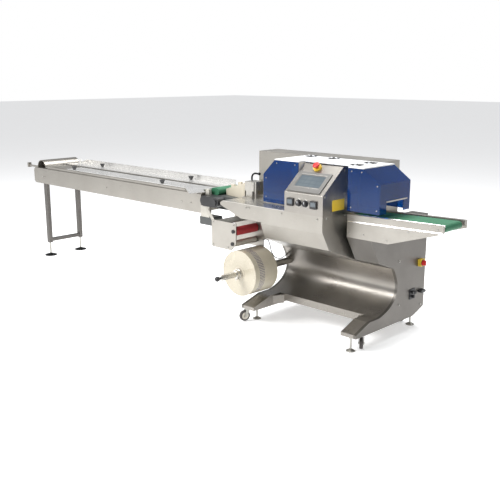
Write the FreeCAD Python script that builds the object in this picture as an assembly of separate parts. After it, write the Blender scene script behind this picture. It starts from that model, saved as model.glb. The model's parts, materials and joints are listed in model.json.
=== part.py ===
"""Horizontal flow wrapper with a long infeed conveyor, film unit, two hinged guards and a discharge belt.

Working axes: x runs with the product flow, y runs to the back of the machine, z runs up from the floor.
The finished model is moved so that its origin is the bottom centre of the whole machine.
"""
import FreeCAD, Part
import math
import os

V = FreeCAD.Vector

# ---- flow line and heights -------------------------------------------------------------------
FLOW_Y = -30.0             # centre line of the product flow
SHEET = 6.0                # thickness of plates that carry other pieces
SKIN = 3.0                 # thickness of thin deck sheets
RUNNING_GAP = 6.0          # free space round a piece that moves
SEAT_GAP = 0.3             # space between a loop and what it runs on
BORE_GAP = 0.05            # radial clearance of a pin in its bore

# ---- machine body ----------------------------------------------------------------------------
BODY_LEFT = -480.0
BODY_RIGHT = 438.0
BODY_REAR = 475.0
END_PLATE = 20.0
UNDERSIDE = 116.0          # underside of the body between its end plates
FOOT_UNDERSIDE = 90.0      # underside of the foot beams and end plates
WAIST_Y = 160.0            # deepest point of the concave front sheet
WAIST_Z = 320.0
FOLD_Y = 110.0             # where the concave sheet meets the upper body
FOLD_Z = 448.0
SKIRT_Y = -31.0            # front skirt between the foot beams
SKIRT_TOP = 163.0
CHIN_Y = -271.0            # lower front edge of the upper body
CHIN_Z = 594.0
BODY_TOP = 710.0
BODY_FRONT = -332.0
UPPER_LEFT = -440.0        # left side of the overhanging upper body at the fold
SHOULDER_X = -268.0        # its left side at the front
COLUMN_RIGHT = 229.0       # right side of the front column and of the control head
REAR_PANEL_LEFT = 262.0    # left edge of the sloping panel under the discharge
REAR_PANEL_FOOT = (-52.0, 510.0)
REAR_PANEL_TOP_Y = -150.0
DISCHARGE_SEAT = 672.0     # top of the body under the discharge conveyor
REAR_RISE = 750.0

# ---- foot beams, levelling feet and casters ----------------------------------------------------
BEAM_WIDTH = 113.0
BEAM_TIP_HEIGHT = 22.0
BEAM_KNEE = (-130.0, 162.0)
BEAM_FLARE = 35.0
BEAM_FLARE_LENGTH = 75.0
BEAM_TIP_Y = {"left": -292.0, "right": -262.0}
FOOT_PAD_R = 28.0
FOOT_PAD_H = 10.0
FOOT_ROD_R = 6.0
FOOT_NUT_H = 9.0
WHEEL_R = 36.0
WHEEL_WIDTH = 22.0
WHEEL_LIFT = 4.0           # the wheels stand clear of the floor when the feet carry the machine
CASTER_TRAIL = 22.0
FORK_LEG = 4.0
FORK_DISC_R = 19.0
FORK_DISC_H = 7.5
KING_PIN_R = 5.0
KING_PIN_DEPTH = 12.0
AXLE_R = 4.0
CORNERS = {                # foot place, caster swivel place, way that the caster trails in degrees
    "front_left": ((-432.0, -193.0), (-448.0, -268.0), 250.0),
    "front_right": ((388.0, -243.0), (402.0, -156.0), 306.0),
    "rear_left": ((-418.0, 425.0), (-340.0, 405.0), 100.0),
    "rear_right": ((376.0, 425.0), (298.0, 405.0), 80.0),
}

# ---- bed, control head and cabinet -------------------------------------------------------------
BED_TOP = 805.0
BED_FRONT = -340.0
BED_REAR = 301.0
NOSE_TIP = (-644.0, 783.0)
NOSE_TOP_X = -612.0
BED_SLOPE_END_X = -437.0
HEAD_LEFT = -66.0
HEAD_REAR = -104.0
HEAD_KNEE_Z = 926.0
HEAD_TOP_Z = 1081.0
HEAD_TOP_Y = -153.0
CABINET_LEFT = -698.0
CABINET_RIGHT = 321.0
CABINET_FRONT = 105.0
COVER_TOP = 1095.0
COVER_FRONT = -148.0       # front edge of the white covers over the control head
SCREEN_X = (-50.0, 196.0)
SCREEN_RUN = (12.0, 170.0)     # from the knee up the sloping panel
SCREEN_THICK = 6.0
SCREEN_RIM = (26.0, 30.0)
BUTTON_Z = 869.0
SQUARE_BUTTON = 48.0
ROUND_BUTTON_R = 21.0
BUTTON_PROUD = 10.0
SQUARE_BUTTON_X = (-17.0, 162.0)
ROUND_BUTTON_X = (50.0, 101.0)
STOP_X = 57.0
STOP_RUN = 211.0
STOP_RING_R = 27.0
STOP_RING_H = 10.0
STOP_STEM_R = 9.0
STOP_HEAD_R = 22.0
STOP_HEAD_H = 14.0
STOP_TRAVEL = 5.0

# ---- guards ------------------------------------------------------------------------------------
GUARD_FRONT = -208.0
GUARD_SHEET = 4.0
GUARD_TOP_SHEET = 6.0
HINGE_Z = 1100.0
HINGE_R = 4.0
HINGE_LENGTH = 50.0
HINGE_LEAF = 22.0
HINGE_LEAF_START = 6.0     # the leaf keeps this far from the pin line
HINGE_PIN_R = 2.0
HINGE_NECK = 3.0
HINGE_SIDE_GAP = 0.5
HINGE_LEAF_THICK = 3.0
LEFT_GUARD_END = -364.0
LEFT_GUARD_SHOULDER = -268.0
LEFT_GUARD_RIGHT = 147.0
LEFT_HINGE_Y = 65.0
LEFT_HINGE_X = (-195.0, -11.0)
RIGHT_HINGE_X = 301.0
RIGHT_HINGE_Y = (-118.0, 18.0)
RIGHT_GUARD_SHOULDER = 415.0
RIGHT_GUARD_END = 530.0
RIGHT_GUARD_REAR = 100.0
RIGHT_SHOULDER_Z = 1010.0
LEFT_SHOULDER_Z = 992.0
GUARD_BOTTOM = 814.0
RIGHT_GUARD_BOTTOM = 838.0
EXIT_HEIGHT = 62.0
ENTRY_HEIGHT = 96.0

# ---- infeed conveyor -----------------------------------------------------------------------------
INFEED_LEFT = -3215.0
INFEED_RIGHT = -962.0
INFEED_FRONT = -210.0
INFEED_REAR = 150.0
PANEL_BOTTOM = 660.0
PANEL_TOP = 795.0
PANEL_SHEET = 4.0
PANEL_CORNER_R = 30.0
DECK_LEFT = -3005.0
RAIL_LEFT = -3005.0
PLATE_TOP = 825.0
NEAR_PLATE_LEFT = -2668.0
PLATE_JOINT_X = -1128.0
SLOT_HALF_WIDTH = 20.0
PLATE_SLOT_HALF = 30.0
CHAIN_HALF_WIDTH = 12.0
CHAIN_R = 52.0
CHAIN_THICK = 10.0
CHAIN_ENDS = (-3120.0, -1050.0)
CHAIN_TOP = 818.0
FRAME_BOTTOM = 668.0
BOARD_TOP = 862.0
BOARD_SHOULDER_X = -2872.0
BOARD_THICK = 6.0
KNOB_X = (-2575.0, -1404.0)
KNOB_Y = (-195.0, 90.0)
KNOB_FOOT_R = 10.0
KNOB_TOP_R = 20.0
KNOB_HEIGHT = 28.0
WING_TIP = (-900.0, -370.0)
WING_INNER = (-872.0, -250.0)
TAIL_X = (-3155.0, -3020.0)
TAIL_TOP = 868.0
TAIL_WALL = 5.0
TAIL_ARM_END = -3335.0
LEG_X = -3050.0
LEG_SIZE = (46.0, 34.0)
LEG_FOOT_R = 52.0
LEG_FOOT_H = 18.0
LEG_BOTTOM = 121.0
CROSSBAR_Z = (130.0, 157.0)

# ---- transfer, folding box and fin seal ------------------------------------------------------------
TRANSFER_Y = (-150.0, 90.0)
TRANSFER_Z = (700.0, 790.0)
TRANSFER_RIGHT = -560.0
HOUSING_X = (-958.0, -776.0)
HOUSING_Z = (718.0, 790.0)
HOUSING_FRONT = -222.0
ROLLER_X = (-935.0, -852.0)
ROLLER_TOP = 838.0
BLOCK_X = (-945.0, -908.0)
BRACKET_X = (-958.0, -870.0)
BRACKET_BOTTOM = 640.0
DRIVE_BOX_X = (-970.0, -850.0)
DRIVE_BOX_BOTTOM = 585.0
FORMER_X = (-846.0, -616.0)
FORMER_TIP = (45.0, 40.0)      # half width and height where the film folds in
FORMER_END = (92.0, 112.0)     # half width and height where the product enters
FORMER_WALL = 4.0
CLAMP_LENGTH = 30.0
FIN_X = (-606.0, -520.0)
FIN_Y = (-135.0, -40.0)
FIN_BLOCK_Z = (852.0, 914.0)
FIN_STAND_Y = -112.0
FIN_POST_X = -500.0
FIN_POST_R = 9.0
LEVER_R = 6.0
LEVER_BEND_R = 34.0

# ---- film unit and film roll -------------------------------------------------------------------------
FILM_BRACKET_X = (-714.0, -484.0)
FILM_BRACKET_Z = (484.0, 668.0)
FILM_CORNER = (-530.0, 530.0)            # the front plate is cut off from this x up to this z
FILM_REAR_Y = -125.0
FILM_TONGUE_Z = 542.0                    # lower edge of the rear plate where it reaches the body
RED_ROLLER = (-508.0, 612.0, 29.0)       # axis x, axis z, radius
GUIDE_ROLLER = (-516.0, 528.0, 21.0)
STRIPPER_BAR = (-560.0, 500.0, 5.0)
JOURNAL_R = 8.0
ROLL_X = -455.0
ROLL_Z = 341.0
ROLL_R = 151.5
ROLL_Y = (-340.0, -131.0)
CORE_R = 38.0
SPINDLE_R = 15.0
SPINDLE_TUBE_R = 20.0
SPINDLE_END = -508.0
SPINDLE_INNER_END = 60.0
HOUSING_R = 24.0
COLLAR_R = 33.0
COLLAR_LENGTH = 14.0
BALL_R = 17.0

# ---- discharge conveyor ------------------------------------------------------------------------------
DISCHARGE_Y = (-172.0, 88.0)
DISCHARGE_LEFT = 282.0
DISCHARGE_RIGHT = 914.0
DISCHARGE_TOP = (809.0, 825.0)           # top edge at its left and right end
DISCHARGE_KNEE_X = 572.0
DISCHARGE_NOSE_Z = 779.0
LIP_WIDTH = 16.0
LIP_HEIGHT = 40.0
BELT_Y = (-140.0, 36.0)
FAR_RAIL = (28.0, 30.0)                  # width and height of the far side rail
BELT_R = 21.0
BELT_THICK = 4.0
BELT_ENDS = ((309.0, 786.5), (890.0, 801.0))
BASE_X = (300.0, 418.0)

# ---- right end face and cable -------------------------------------------------------------------------
ISOLATOR = (407.0, 439.0)
ISOLATOR_SIDE = 46.0
ISOLATOR_DEPTH = 22.0
ISOLATOR_KNOB_R = 17.0
ISOLATOR_KNOB_DEPTH = 12.0
FITTING = (330.0, 245.0)
HANDLE = (432.0, 245.0)
CABLE_R = 3.0
GLAND_R = 8.0
GLAND_LENGTH = 12.0
CABLE_START = (-452.0, -107.0, 533.0)
CABLE_STEPS = (            # the free points of the cable, counted from its start
    (0.0, 24.0, 0.0),
    (1.0, 44.0, -14.0),
    (1.0, 57.0, -38.0),
    (1.0, 65.0, -68.0),
    (1.0, 76.0, -100.0),
    (2.0, 96.0, -130.0),
    (2.0, 128.0, -152.0),
    (2.0, 164.0, -161.0),
    (2.0, 196.0, -157.0),
    (2.0, 222.0, -147.0),
)


# ---- shape helpers ----------------------------------------------------------------------------------
def block(x, y, z):
    """Box between two x, two y and two z values."""
    return Part.makeBox(x[1] - x[0], y[1] - y[0], z[1] - z[0], V(x[0], y[0], z[0]))


def rod(radius, start, end):
    """Round bar from one point to another."""
    along = V(*end) - V(*start)
    return Part.makeCylinder(radius, along.Length, V(*start), along)


def prism(points, way):
    """Closed polygon of points, pushed along a vector."""
    corners = [V(*p) for p in points]
    return Part.Face(Part.makePolygon(corners + corners[:1])).extrude(V(*way))


def side_prism(points, y):
    """Polygon of (x, z) points between two y values."""
    return prism([(px, y[0], pz) for px, pz in points], (0, y[1] - y[0], 0))


def end_prism(points, x):
    """Polygon of (y, z) points between two x values."""
    return prism([(x[0], py, pz) for py, pz in points], (x[1] - x[0], 0, 0))


def plan_prism(points, z):
    """Polygon of (x, y) points between two z values."""
    return prism([(px, py, z[0]) for px, py in points], (0, 0, z[1] - z[0]))


def slot_shape(start, end, radius, y):
    """Flat bar with round ends, its end centres at two (x, z) points, between two y values."""
    a = V(start[0], y[0], start[1])
    b = V(end[0], y[0], end[1])
    along = (b - a).normalize()
    up = V(-along.z, 0, along.x) * radius
    wire = Part.Wire([
        Part.LineSegment(a + up, b + up).toShape(),
        Part.Arc(b + up, b + along * radius, b - up).toShape(),
        Part.LineSegment(b - up, a - up).toShape(),
        Part.Arc(a - up, a - along * radius, a + up).toShape(),
    ])
    return Part.Face(wire).extrude(V(0, y[1] - y[0], 0))


def loop_shape(start, end, radius, thick, y):
    """Closed belt or chain: a slot shape with a smaller one taken out."""
    return slot_shape(start, end, radius, y).cut(slot_shape(start, end, radius - thick, y))


def edges_along(shape, axis, keep=None):
    """Straight edges of a shape that run along an axis and pass a test of their middle point."""
    found = []
    for edge in shape.Edges:
        if len(edge.Vertexes) == 2 and edge.Curve.TypeId == "Part::GeomLine":
            way = (edge.Vertexes[1].Point - edge.Vertexes[0].Point).normalize()
            if abs(abs(way.dot(axis)) - 1) < 1e-6 and (keep is None or keep(edge.CenterOfMass)):
                found.append(edge)
    return found


def soften(shape, radius, axis, keep=None):
    """Round the edges of a shape that run along an axis."""
    return shape.makeFillet(radius, edges_along(shape, axis, keep))


X, Y, Z = V(1, 0, 0), V(0, 1, 0), V(0, 0, 1)


# ---- machine body -------------------------------------------------------------------------------------
def concave_edge(x):
    """Curved line of the front sheet at one x: in at the fold, deepest at the waist, out to the skirt."""
    knots = [
        V(x, FOLD_Y, FOLD_Z),
        V(x, (FOLD_Y + 2 * WAIST_Y) / 3, (FOLD_Z + WAIST_Z) / 2 + 4),
        V(x, WAIST_Y, WAIST_Z),
        V(x, WAIST_Y - 22, (WAIST_Z + SKIRT_TOP) / 2 + 12),
        V(x, (WAIST_Y + SKIRT_Y) / 2 + 6, SKIRT_TOP + 34),
        V(x, SKIRT_Y, SKIRT_TOP),
    ]
    curve = Part.BSplineCurve()
    curve.interpolate(knots)
    return curve.toShape()


def concave_prism(before, after, x):
    """Solid whose front is the concave sheet; before leads to the fold, after leads on from the skirt."""
    corners = [V(x[0], py, pz) for py, pz in before]
    tail = [V(x[0], py, pz) for py, pz in after]
    edges = [Part.LineSegment(a, b).toShape() for a, b in zip(corners, corners[1:])]
    edges.append(concave_edge(x[0]))
    edges += [Part.LineSegment(a, b).toShape() for a, b in zip(tail, tail[1:])]
    edges.append(Part.LineSegment(tail[-1], corners[0]).toShape())
    return Part.Face(Part.Wire(edges)).extrude(V(x[1] - x[0], 0, 0))


def king_pin_holes(under_z, names):
    """Bores for the caster king pins in the body or in a beam."""
    holes = []
    for name in names:
        sx, sy = CORNERS[name][1]
        holes.append(rod(KING_PIN_R + BORE_GAP, (sx, sy, under_z - 1), (sx, sy, under_z + KING_PIN_DEPTH + 1)))
    return holes


def pedestal():
    """Lower body between the end plates."""
    solid = concave_prism(
        [(BODY_REAR, FOLD_Z), (FOLD_Y, FOLD_Z)],
        [(SKIRT_Y, SKIRT_TOP), (SKIRT_Y, UNDERSIDE), (BODY_REAR - 40, UNDERSIDE), (BODY_REAR, UNDERSIDE + 19)],
        (BODY_LEFT + END_PLATE, BODY_RIGHT - END_PLATE))
    for hole in king_pin_holes(UNDERSIDE, ("rear_left", "rear_right")):
        solid = solid.cut(hole)
    return solid


def foot_outline(tip_y):
    """Line of an end plate from the skirt, over the foot beam and back along the underside."""
    return [
        (SKIRT_Y, SKIRT_TOP), BEAM_KNEE, (tip_y, FOOT_UNDERSIDE + BEAM_TIP_HEIGHT), (tip_y, FOOT_UNDERSIDE),
        (BODY_REAR - 125, FOOT_UNDERSIDE), (BODY_REAR - 75, FOOT_UNDERSIDE + 17), (BODY_REAR, UNDERSIDE + 19),
    ]


def end_plates():
    """Left plate up to the fold, right plate up to the discharge seat and the rear rise."""
    left = concave_prism([(BODY_REAR, FOLD_Z), (FOLD_Y, FOLD_Z)], foot_outline(BEAM_TIP_Y["left"]),
                         (BODY_LEFT, BODY_LEFT + END_PLATE))
    right = concave_prism(
        [(BODY_REAR, REAR_RISE), (CABINET_FRONT, REAR_RISE), (CABINET_FRONT, DISCHARGE_SEAT),
         (REAR_PANEL_TOP_Y, DISCHARGE_SEAT), REAR_PANEL_FOOT, (FOLD_Y, FOLD_Z)],
        foot_outline(BEAM_TIP_Y["right"]), (BODY_RIGHT - END_PLATE, BODY_RIGHT))
    return Part.makeCompound([left, right])


def foot_beam(x, tip_y, inner_sign, body):
    """Foot beam beside an end plate, widened towards the skirt."""
    inner_x = x[1] if inner_sign > 0 else x[0]
    outline = [(SKIRT_Y + 90, SKIRT_TOP + 4), (SKIRT_Y, SKIRT_TOP), BEAM_KNEE,
               (tip_y, FOOT_UNDERSIDE + BEAM_TIP_HEIGHT), (tip_y, FOOT_UNDERSIDE), (SKIRT_Y + 90, FOOT_UNDERSIDE)]
    beam = end_prism(outline, x)
    flare = plan_prism([(inner_x, SKIRT_Y - BEAM_FLARE_LENGTH), (inner_x, SKIRT_Y),
                        (inner_x + inner_sign * BEAM_FLARE, SKIRT_Y)], (FOOT_UNDERSIDE + 8, SKIRT_TOP - 8))
    beam = beam.fuse(flare).removeSplitter().cut(body)
    return beam


def foot_beams(body):
    """Both front foot beams with the bores of the front casters."""
    wide = BEAM_WIDTH - END_PLATE
    left_x = (BODY_LEFT + END_PLATE, BODY_LEFT + END_PLATE + wide)
    right_x = (BODY_RIGHT - END_PLATE - wide, BODY_RIGHT - END_PLATE)
    left = foot_beam(left_x, BEAM_TIP_Y["left"], 1, body)
    right = foot_beam(right_x, BEAM_TIP_Y["right"], -1, body)
    bores = king_pin_holes(FOOT_UNDERSIDE, ("front_left", "front_right"))
    return Part.makeCompound([left.cut(bores[0]), right.cut(bores[1])])


def upper_body():
    """Overhanging body under the bed, its front sloping back to the chin and the fold."""
    front = end_prism([(FOLD_Y, FOLD_Z), (CHIN_Y, CHIN_Z), (BODY_FRONT, BODY_TOP - 10), (BODY_FRONT, BODY_TOP),
                       (BODY_REAR, BODY_TOP), (BODY_REAR, FOLD_Z)], (UPPER_LEFT, COLUMN_RIGHT))
    side_cut = plan_prism([(UPPER_LEFT - 1, BODY_FRONT - 1), (SHOULDER_X, BODY_FRONT - 1), (UPPER_LEFT, FOLD_Y),
                           (UPPER_LEFT - 1, FOLD_Y)], (FOLD_Z - 1, BODY_TOP + 1))
    rear = block((BODY_LEFT, UPPER_LEFT), (FOLD_Y, BODY_REAR), (FOLD_Z, BODY_TOP))
    return front.cut(side_cut).fuse(rear).removeSplitter()


def rear_body():
    """Body right of the front column, with the sloping panel under the discharge."""
    right = BODY_RIGHT - END_PLATE
    panel = end_prism([(FOLD_Y, FOLD_Z), REAR_PANEL_FOOT, (REAR_PANEL_TOP_Y, DISCHARGE_SEAT),
                       (BODY_REAR, DISCHARGE_SEAT), (BODY_REAR, FOLD_Z)], (REAR_PANEL_LEFT, right))
    recess = block((COLUMN_RIGHT, REAR_PANEL_LEFT), (FOLD_Y, BODY_REAR), (FOLD_Z, DISCHARGE_SEAT))
    step = block((COLUMN_RIGHT, right), (CABINET_FRONT, BODY_REAR), (DISCHARGE_SEAT, BODY_TOP))
    rise = block((CABINET_RIGHT, right), (CABINET_FRONT, BODY_REAR), (BODY_TOP, REAR_RISE))
    return panel.fuse([recess, step, rise]).removeSplitter()


# ---- bed, head and cabinet ------------------------------------------------------------------------------
def bed():
    """Flat bed box with its sloping nose, and the step that carries the cabinet's right end."""
    main = side_prism([NOSE_TIP, (NOSE_TOP_X, BED_TOP), (COLUMN_RIGHT, BED_TOP), (COLUMN_RIGHT, BODY_TOP),
                       (BED_SLOPE_END_X, BODY_TOP)], (BED_FRONT, BED_REAR))
    main = soften(main, 12, Y, lambda c: abs(c.x - NOSE_TOP_X) < 1 or abs(c.x - NOSE_TIP[0]) < 1)
    step = block((COLUMN_RIGHT, CABINET_RIGHT), (CABINET_FRONT, BED_REAR), (BODY_TOP, BED_TOP))
    return main.fuse(step).removeSplitter()


def bed_top_plate():
    """Bright deck sheet on the bed, round the foot of the control head."""
    z = (BED_TOP, BED_TOP + SKIN)
    left = block((NOSE_TOP_X + 8, HEAD_LEFT), (BED_FRONT, CABINET_FRONT), z)
    right = block((HEAD_LEFT, DISCHARGE_LEFT), (HEAD_REAR, CABINET_FRONT), z)
    return left.fuse(right).removeSplitter()


def control_head():
    """Desk-shaped control box: upright front, sloping panel, upright back."""
    head = end_prism([(BED_FRONT, BED_TOP), (BED_FRONT, HEAD_KNEE_Z), (HEAD_TOP_Y, HEAD_TOP_Z),
                      (HEAD_REAR, HEAD_TOP_Z), (HEAD_REAR, BED_TOP)], (HEAD_LEFT, COLUMN_RIGHT))
    return soften(head, 4, X, lambda c: abs(c.z - HEAD_KNEE_Z) < 1)


def on_slope(x, run, proud):
    """Point over the sloping panel: run up from the knee, proud of the surface."""
    rise = HEAD_TOP_Z - HEAD_KNEE_Z
    depth = HEAD_TOP_Y - BED_FRONT
    length = math.hypot(rise, depth)
    return V(x, BED_FRONT + (run * depth - proud * rise) / length, HEAD_KNEE_Z + (run * rise + proud * depth) / length)


def slope_plate(x, run, proud):
    """Rectangular plate lying on the sloping panel between two heights over it."""
    corners = [on_slope(x[0], run[0], proud[0]), on_slope(x[1], run[0], proud[0]),
               on_slope(x[1], run[1], proud[0]), on_slope(x[0], run[1], proud[0])]
    way = on_slope(0, 0, proud[1]) - on_slope(0, 0, proud[0])
    return Part.Face(Part.makePolygon(corners + corners[:1])).extrude(way)


def touch_screen():
    """Flat screen in a raised frame."""
    frame = slope_plate(SCREEN_X, SCREEN_RUN, (0, SCREEN_THICK))
    inner_x = (SCREEN_X[0] + SCREEN_RIM[0], SCREEN_X[1] - SCREEN_RIM[0])
    inner_run = (SCREEN_RUN[0] + SCREEN_RIM[1] + 10, SCREEN_RUN[1] - SCREEN_RIM[1] + 6)
    return frame.cut(slope_plate(inner_x, inner_run, (SCREEN_THICK - 1.5, SCREEN_THICK + 1)))


def head_buttons():
    """Row of two square displays and two round knobs on the upright front."""
    y = (BED_FRONT - BUTTON_PROUD, BED_FRONT)
    half = SQUARE_BUTTON / 2
    pieces = []
    for bx in SQUARE_BUTTON_X:
        square = block((bx - half, bx + half), y, (BUTTON_Z - half, BUTTON_Z + half))
        pieces.append(soften(square, 4, Y))
    for bx in ROUND_BUTTON_X:
        knob = rod(ROUND_BUTTON_R, (bx, BED_FRONT, BUTTON_Z), (bx, BED_FRONT - BUTTON_PROUD / 2, BUTTON_Z))
        grip = rod(ROUND_BUTTON_R * 0.7, (bx, BED_FRONT, BUTTON_Z), (bx, BED_FRONT - 2 * BUTTON_PROUD, BUTTON_Z))
        pieces.append(knob.fuse(grip))
    return Part.makeCompound(pieces)


def slope_rod(radius, proud):
    """Round piece of the stop button between two heights over the sloping panel."""
    start = on_slope(STOP_X, STOP_RUN, proud[0])
    end = on_slope(STOP_X, STOP_RUN, proud[1])
    return rod(radius, tuple(start), tuple(end))


def stop_ring():
    """Yellow collar round the stop button's stem."""
    ring = slope_rod(STOP_RING_R, (0, STOP_RING_H))
    return ring.cut(slope_rod(STOP_STEM_R + BORE_GAP, (0, STOP_RING_H + 1)))


def stop_button():
    """Red mushroom button on its stem."""
    low = STOP_RING_H + STOP_TRAVEL + RUNNING_GAP
    stem = slope_rod(STOP_STEM_R, (STOP_TRAVEL + 0.5, low + 1))
    cap = slope_rod(STOP_HEAD_R, (low, low + STOP_HEAD_H))
    cap = cap.makeFillet(6, [e for e in cap.Edges if len(e.Vertexes) == 1])
    return cap.fuse(stem).removeSplitter()


def rear_cabinet():
    """Long cabinet behind the guards."""
    box = block((CABINET_LEFT, CABINET_RIGHT), (CABINET_FRONT, BED_REAR), (BED_TOP, COVER_TOP))
    return soften(box, 5, X, lambda c: c.z > COVER_TOP - 1 and c.y > BED_REAR - 1)


# ---- guards ------------------------------------------------------------------------------------------
def top_cover():
    """Fixed white cover between the guards, with the strip that carries the left guard's hinges."""
    z = (COVER_TOP - GUARD_TOP_SHEET, COVER_TOP)
    main = block((LEFT_GUARD_RIGHT + RUNNING_GAP, RIGHT_HINGE_X - 3), (COVER_FRONT, CABINET_FRONT), z)
    strip = block((LEFT_GUARD_SHOULDER, LEFT_GUARD_RIGHT + RUNNING_GAP), (LEFT_HINGE_Y + 3, CABINET_FRONT), z)
    return main.fuse(strip).removeSplitter()


def hinge_half(place, turn, outer):
    """Half of a guard hinge, its leaf on one side of the pin line: outer has the end knuckles, the other the pin."""
    half = HINGE_LENGTH / 2
    third = HINGE_LENGTH / 6
    low = COVER_TOP - HINGE_Z
    spans = [(-half, -third - HINGE_SIDE_GAP), (third + HINGE_SIDE_GAP, half)] if outer else [(-third, third)]
    parts = []
    for span in spans:
        parts.append(block(span, (0, HINGE_LEAF_START + 1), (-HINGE_NECK, 0)))
        parts.append(rod(HINGE_R, (span[0], 0, 0), (span[1], 0, 0)))
    shape = block((-half, half), (HINGE_LEAF_START, HINGE_LEAF), (low, low + HINGE_LEAF_THICK)).fuse(parts)
    if outer:
        shape = shape.cut(rod(HINGE_PIN_R + BORE_GAP, (-half - 1, 0, 0), (half + 1, 0, 0)))
    else:
        shape = shape.fuse(rod(HINGE_PIN_R, (-half, 0, 0), (half, 0, 0)))
    shape = shape.removeSplitter()
    shape.rotate(V(0, 0, 0), Z, turn)
    shape.translate(V(place[0], place[1], HINGE_Z))
    return shape


def guard_hinges():
    """Fixed hinge halves on the cover, each with its pin."""
    left = [hinge_half((hx, LEFT_HINGE_Y), 0, False) for hx in LEFT_HINGE_X]
    right = [hinge_half((RIGHT_HINGE_X, hy), 90, False) for hy in RIGHT_HINGE_Y]
    return Part.makeCompound(left + right)


def left_guard_top():
    """White top of the left guard: wide on the left, narrow behind the control head."""
    z = (COVER_TOP - GUARD_TOP_SHEET, COVER_TOP)
    rear = LEFT_HINGE_Y - 3
    wide = block((LEFT_GUARD_SHOULDER, HEAD_LEFT - RUNNING_GAP), (GUARD_FRONT, rear), z)
    narrow = block((HEAD_LEFT - RUNNING_GAP, LEFT_GUARD_RIGHT), (COVER_FRONT, rear), z)
    leaves = [hinge_half((hx, LEFT_HINGE_Y), 180, True) for hx in LEFT_HINGE_X]
    return wide.fuse([narrow] + leaves).removeSplitter()


def left_guard_panel():
    """Blue window of the left guard: front wall, sloping shoulder and end wall over the film entry."""
    top = COVER_TOP - GUARD_TOP_SHEET
    rear = LEFT_HINGE_Y - 3
    right = HEAD_LEFT - RUNNING_GAP
    front = side_prism([(LEFT_GUARD_END, GUARD_BOTTOM), (LEFT_GUARD_END, LEFT_SHOULDER_Z),
                        (LEFT_GUARD_SHOULDER, top), (right, top), (right, GUARD_BOTTOM)],
                       (GUARD_FRONT, GUARD_FRONT + GUARD_SHEET))
    inner = GUARD_FRONT + GUARD_SHEET
    shoulder = side_prism([(LEFT_GUARD_END, LEFT_SHOULDER_Z), (LEFT_GUARD_SHOULDER, top),
                           (LEFT_GUARD_SHOULDER + GUARD_SHEET, top),
                           (LEFT_GUARD_END + GUARD_SHEET, LEFT_SHOULDER_Z - 2)], (inner, rear))
    end = block((LEFT_GUARD_END, LEFT_GUARD_END + GUARD_SHEET), (inner, rear),
                (BED_TOP + ENTRY_HEIGHT, LEFT_SHOULDER_Z))
    return front.fuse([shoulder, end]).removeSplitter()


def right_guard_top():
    """White top of the right guard."""
    z = (COVER_TOP - GUARD_TOP_SHEET, COVER_TOP)
    left = RIGHT_HINGE_X + 3
    plate = block((left, RIGHT_GUARD_SHOULDER), (GUARD_FRONT, RIGHT_GUARD_REAR), z)
    leaves = [hinge_half((RIGHT_HINGE_X, hy), -90, True) for hy in RIGHT_HINGE_Y]
    return plate.fuse(leaves).removeSplitter()


def right_guard_panel():
    """Blue window of the right guard: front and rear wall, sloping shoulder, end wall over the exit."""
    top = COVER_TOP - GUARD_TOP_SHEET
    low = RIGHT_GUARD_BOTTOM
    inner = (GUARD_FRONT + GUARD_SHEET, RIGHT_GUARD_REAR - GUARD_SHEET)
    front = side_prism([(RIGHT_HINGE_X + 3, low), (RIGHT_HINGE_X + 3, top), (RIGHT_GUARD_SHOULDER, top),
                        (RIGHT_GUARD_END, RIGHT_SHOULDER_Z), (RIGHT_GUARD_END, low)], (GUARD_FRONT, inner[0]))
    rear = side_prism([(CABINET_RIGHT + RUNNING_GAP, low), (CABINET_RIGHT + RUNNING_GAP, top),
                       (RIGHT_GUARD_SHOULDER, top), (RIGHT_GUARD_END, RIGHT_SHOULDER_Z), (RIGHT_GUARD_END, low)],
                      (inner[1], RIGHT_GUARD_REAR))
    shoulder = side_prism([(RIGHT_GUARD_SHOULDER - GUARD_SHEET, top), (RIGHT_GUARD_SHOULDER, top),
                           (RIGHT_GUARD_END, RIGHT_SHOULDER_Z), (RIGHT_GUARD_END - GUARD_SHEET, RIGHT_SHOULDER_Z - 2)],
                          inner)
    end = block((RIGHT_GUARD_END - GUARD_SHEET, RIGHT_GUARD_END), inner, (low, RIGHT_SHOULDER_Z))
    exit_gap = block((RIGHT_GUARD_END - 2 * GUARD_SHEET, RIGHT_GUARD_END + 1), BELT_Y, (low - 1, low + EXIT_HEIGHT))
    return front.fuse([rear, shoulder, end]).removeSplitter().cut(exit_gap)


def end_seal_unit():
    """Sealing station under the cover: two columns, cross head and upper jaw, lower jaw block."""
    deck = BED_TOP + SKIN
    columns = [rod(10, (190, cy, deck), (190, cy, 1045)) for cy in (-84, 58)]
    head = block((165, 218), (-98, 72), (1035, 1062))
    jaw = block((180, 200), (-68, 35), (905, 958))
    pull = rod(9, (190, FLOW_Y, 950), (190, FLOW_Y, 1040))
    upper = head.fuse(columns + [jaw, pull]).removeSplitter()
    lower = block((180, 200), (-68, 35), (deck, deck + 22))
    return Part.makeCompound([upper, lower])


# ---- infeed conveyor -----------------------------------------------------------------------------------
def infeed_side_panels():
    """Two long side panels and the two rails over the shadow gap."""
    pieces = []
    for y in ((INFEED_FRONT, INFEED_FRONT + PANEL_SHEET), (INFEED_REAR - PANEL_SHEET, INFEED_REAR)):
        panel = block((INFEED_LEFT, INFEED_RIGHT), y, (PANEL_BOTTOM, PANEL_TOP))
        pieces.append(soften(panel, PANEL_CORNER_R, Y, lambda c: c.x < INFEED_LEFT + 1))
    for y in ((INFEED_FRONT, INFEED_FRONT + 10), (INFEED_REAR - 10, INFEED_REAR)):
        pieces.append(block((RAIL_LEFT, PLATE_JOINT_X), y, (PANEL_TOP + 8, PLATE_TOP - 7)))
    return Part.makeCompound(pieces)


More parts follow.
